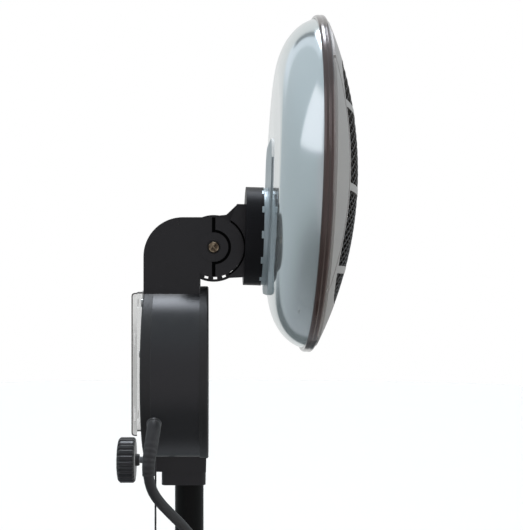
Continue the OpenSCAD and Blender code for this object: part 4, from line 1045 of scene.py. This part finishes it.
route = [(-83, 29, 1437), (-87.5, 30.5, 1425.5), (-88, 30.5, 1414), (-85, 27.5, 1402), (-78.5, 21.5, 1391),
         (-68, 13, 1379), (-56, 4.5, 1367), (-44, -3.5, 1353), (-33.5, -10, 1334), (-26, -13.5, 1308),
         (-22, -13, 1265), (-21.5, -8, 1200), (-21, -2, 1130), (-20.35, 0, 1065), (-20.35, 0, 1035),
         (-21, 1, 930), (-22.5, 2, 700), (-21.5, 1, 450), (-20.35, 0, 315), (-20.35, 0, 285), (-22, 3, 240),
         (-27, 12, 190), (-35, 28, 140), (-45, 48, 95), (-57, 73, 60), (-70, 100, 41), (-82, 126, 33.5),
         (-94, 152, 28.5), (-106, 178, 22.5), (-118, 202, 13.5), (-129, 224, 7), (-139, 246, 4.6),
         (-147, 268, 4.35)]
route = [gland_out + 0.006 * gland_way, *[Vector(p) / 1000 for p in route],
         coil_start - Vector((0, 4 * cord_r, 0))]
lead = [gland_out, *eased(route, 8), coil_start - Vector((0, 2 * cord_r, 0))]


def winding(i):
    """The coil's radius and height at step i: two turns inwards, a short climb, and out again on top."""
    climb = min(max(i - inward, 0) / climbing, 1)
    if i <= inward:
        r = coil_out - coil_step * i / turn_steps
    elif i <= inward + climbing:
        r = coil_in - climb_dip * math.sin(math.pi * climb)
    else:
        r = coil_in + coil_step * (i - inward - climbing) / turn_steps
    return r, floor_z + coil_rise * (1 - math.cos(math.pi * climb)) / 2


coil = []
for i in range(2 * coil_steps + 1):
    r, high = winding(i / 2)
    turn = math.pi - math.pi * i / turn_steps
    coil.append(Vector((coil_x, coil_y, high)) + Vector((*around(r, turn), 0)))
plug_r = 0.0195
plug_z = plug_r + 0.0002
last = coil[-1]
tail = [last + Vector((0.009 * k, 0, (plug_z - last.z) * (1 - math.cos(math.radians(30 * k))) / 2))
        for k in range(1, 7)]
path = lead + coil + tail + [last + Vector((0.054 + 2 * cord_r, 0, plug_z - last.z))]
rubber_lead = tube_mesh("rubber_lead", path, lambda i, turn: cord_r, 20, Vector((0, 1, 0)))
rubber_lead.data.materials.append(lead_black)
smooth(rubber_lead, 60)
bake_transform(rubber_lead)
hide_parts("power_cord", "cord_coil")
rubber_lead.visible_glossy = False

keep(moulding, 0.0005, "cord_gland", sides=3)
boot_line = eased([gland_out, *route[:4]], 14)
boot_line = boot_line[: round(len(boot_line) * 0.97)]
boot_ribs, rib_start, rib_depth = 7, 0.42, 0.00045
boot_t, boot_taper = 0.0017, 0.0009


def ribbed(i, turn):
    """The strain relief's radius: tapered, with cut grooves in the half away from the drum."""
    along = i / (len(boot_line) - 1)
    r = cord_r + boot_t - boot_taper * along
    if along > rib_start and abs(math.cos(turn)) < 0.85:
        wave = math.cos((along - rib_start) / (1 - rib_start) * boot_ribs * 2 * math.pi)
        r -= rib_depth * max(0.0, -wave) ** 0.5
    return r


boot = tube_mesh("ribbed_boot", boot_line, ribbed, 32, Vector((0, 1, 0)))
dress(boot, lead_black, "lead_rubber", "unit", "cord_boot", sharp=40).visible_glossy = False

plug_at = Matrix.Translation(path[-1]) @ spun(90, "Y")
plug_line = [(0.0, 0.0, 0), (0.0054, 0.0), (0.0058, 0.0030), (0.0052, 0.0036), (0.0052, 0.0054),
             (0.0062, 0.0060), (0.0064, 0.0090), (0.0056, 0.0096), (0.0056, 0.0114), (0.0068, 0.0120),
             (0.0074, 0.0200, 0.006), (0.0120, 0.0280, 0.008), (0.0185, 0.0380, 0.004),
             (plug_r, 0.0410, 0.003), (plug_r, 0.0540, 0.001), (0.0185, 0.0550, 0.0006), (0.0, 0.0550, 0)]
plug = lathe("round_plug", rounded(plug_line, 0.0003, 5), steps=96)
for low, high in ((-0.0245, -0.0155), (0.0155, 0.0245)):
    cut(plug, block((low, -0.0034, 0.040), (high, 0.0034, 0.060)))
plug.data.transform(plug_at)
dress(plug, lead_black, "lead_rubber", "stand", "mains_plug")
nickel = finish("plug_nickel", "#c9c6bd", "#b8b4a8", (0.18, 0.3), 1.0, 200.0, scuffs=0.3)
pin_line = rounded([(0.0, 0.054, 0), (0.0024, 0.054, 0), (0.0024, 0.074, 0.0012), (0.0, 0.074, 0)], 0.0)
for way, place in (("front", -0.0095), ("back", 0.0095)):
    pin = lathe("plug_pin_" + way, pin_line, plug_at @ moved(0, place, 0), 32)
    dress(pin, nickel, "zinc_steel", "stand")
for way, place in (("top", -0.0158), ("bottom", 0.0158)):
    bm = bmesh.new()
    bmesh.ops.create_grid(bm, x_segments=6, y_segments=12, size=0.5)
    for vertex in bm.verts:
        bow = 0.0008 * math.cos(math.pi * vertex.co.y)
        vertex.co = (place + math.copysign(bow, place), vertex.co.x * 0.0044, 0.0475 + vertex.co.y * 0.0135)
    bmesh.ops.solidify(bm, geom=bm.faces[:], thickness=0.0005)
    bm.transform(plug_at)
    dress(shown("plug_earth_" + way, bm), nickel, "zinc_steel", "stand")

strap = finish("coil_strap", "#1a1a1b", "#242425", (0.75, 0.95), 0.0, 200.0, grain=(2400.0, 0.5, 0.0001))
strap_turn = math.radians(60)
strap_half, strap_t, strap_air = 0.006, 0.0009, 0.0008
strap_low, strap_high = 0.0004, 2 * cord_r + coil_rise + 0.0006
inner, outer = coil_in - cord_r - strap_air, coil_out + cord_r + strap_air
out = Vector((math.cos(strap_turn), math.sin(strap_turn), 0))
along = Vector((-out.y, out.x, 0))
hub = Vector((coil_x, coil_y, 0))
loop = rounded([(inner, strap_low), (outer, strap_low), (outer, strap_high), (inner, strap_high)], 0.004, 8)
within = [(inner + strap_t, 0.0012), (outer - strap_t, 0.0012), (outer - strap_t, 2 * cord_r + coil_rise),
          (inner + strap_t, 2 * cord_r + coil_rise)]
within = rounded(within, 0.0034, 8)
bm = bmesh.new()
span(bm, [[bm.verts.new(hub + out * p.x + along * to_side + Vector((0, 0, p.y))) for p in line]
          for line, to_side in ((loop, -strap_half), (loop, strap_half), (within, strap_half),
                                (within, -strap_half))], True)
dress(solid("coil_strap", bm), strap, "lead_rubber", "stand", sharp=40)
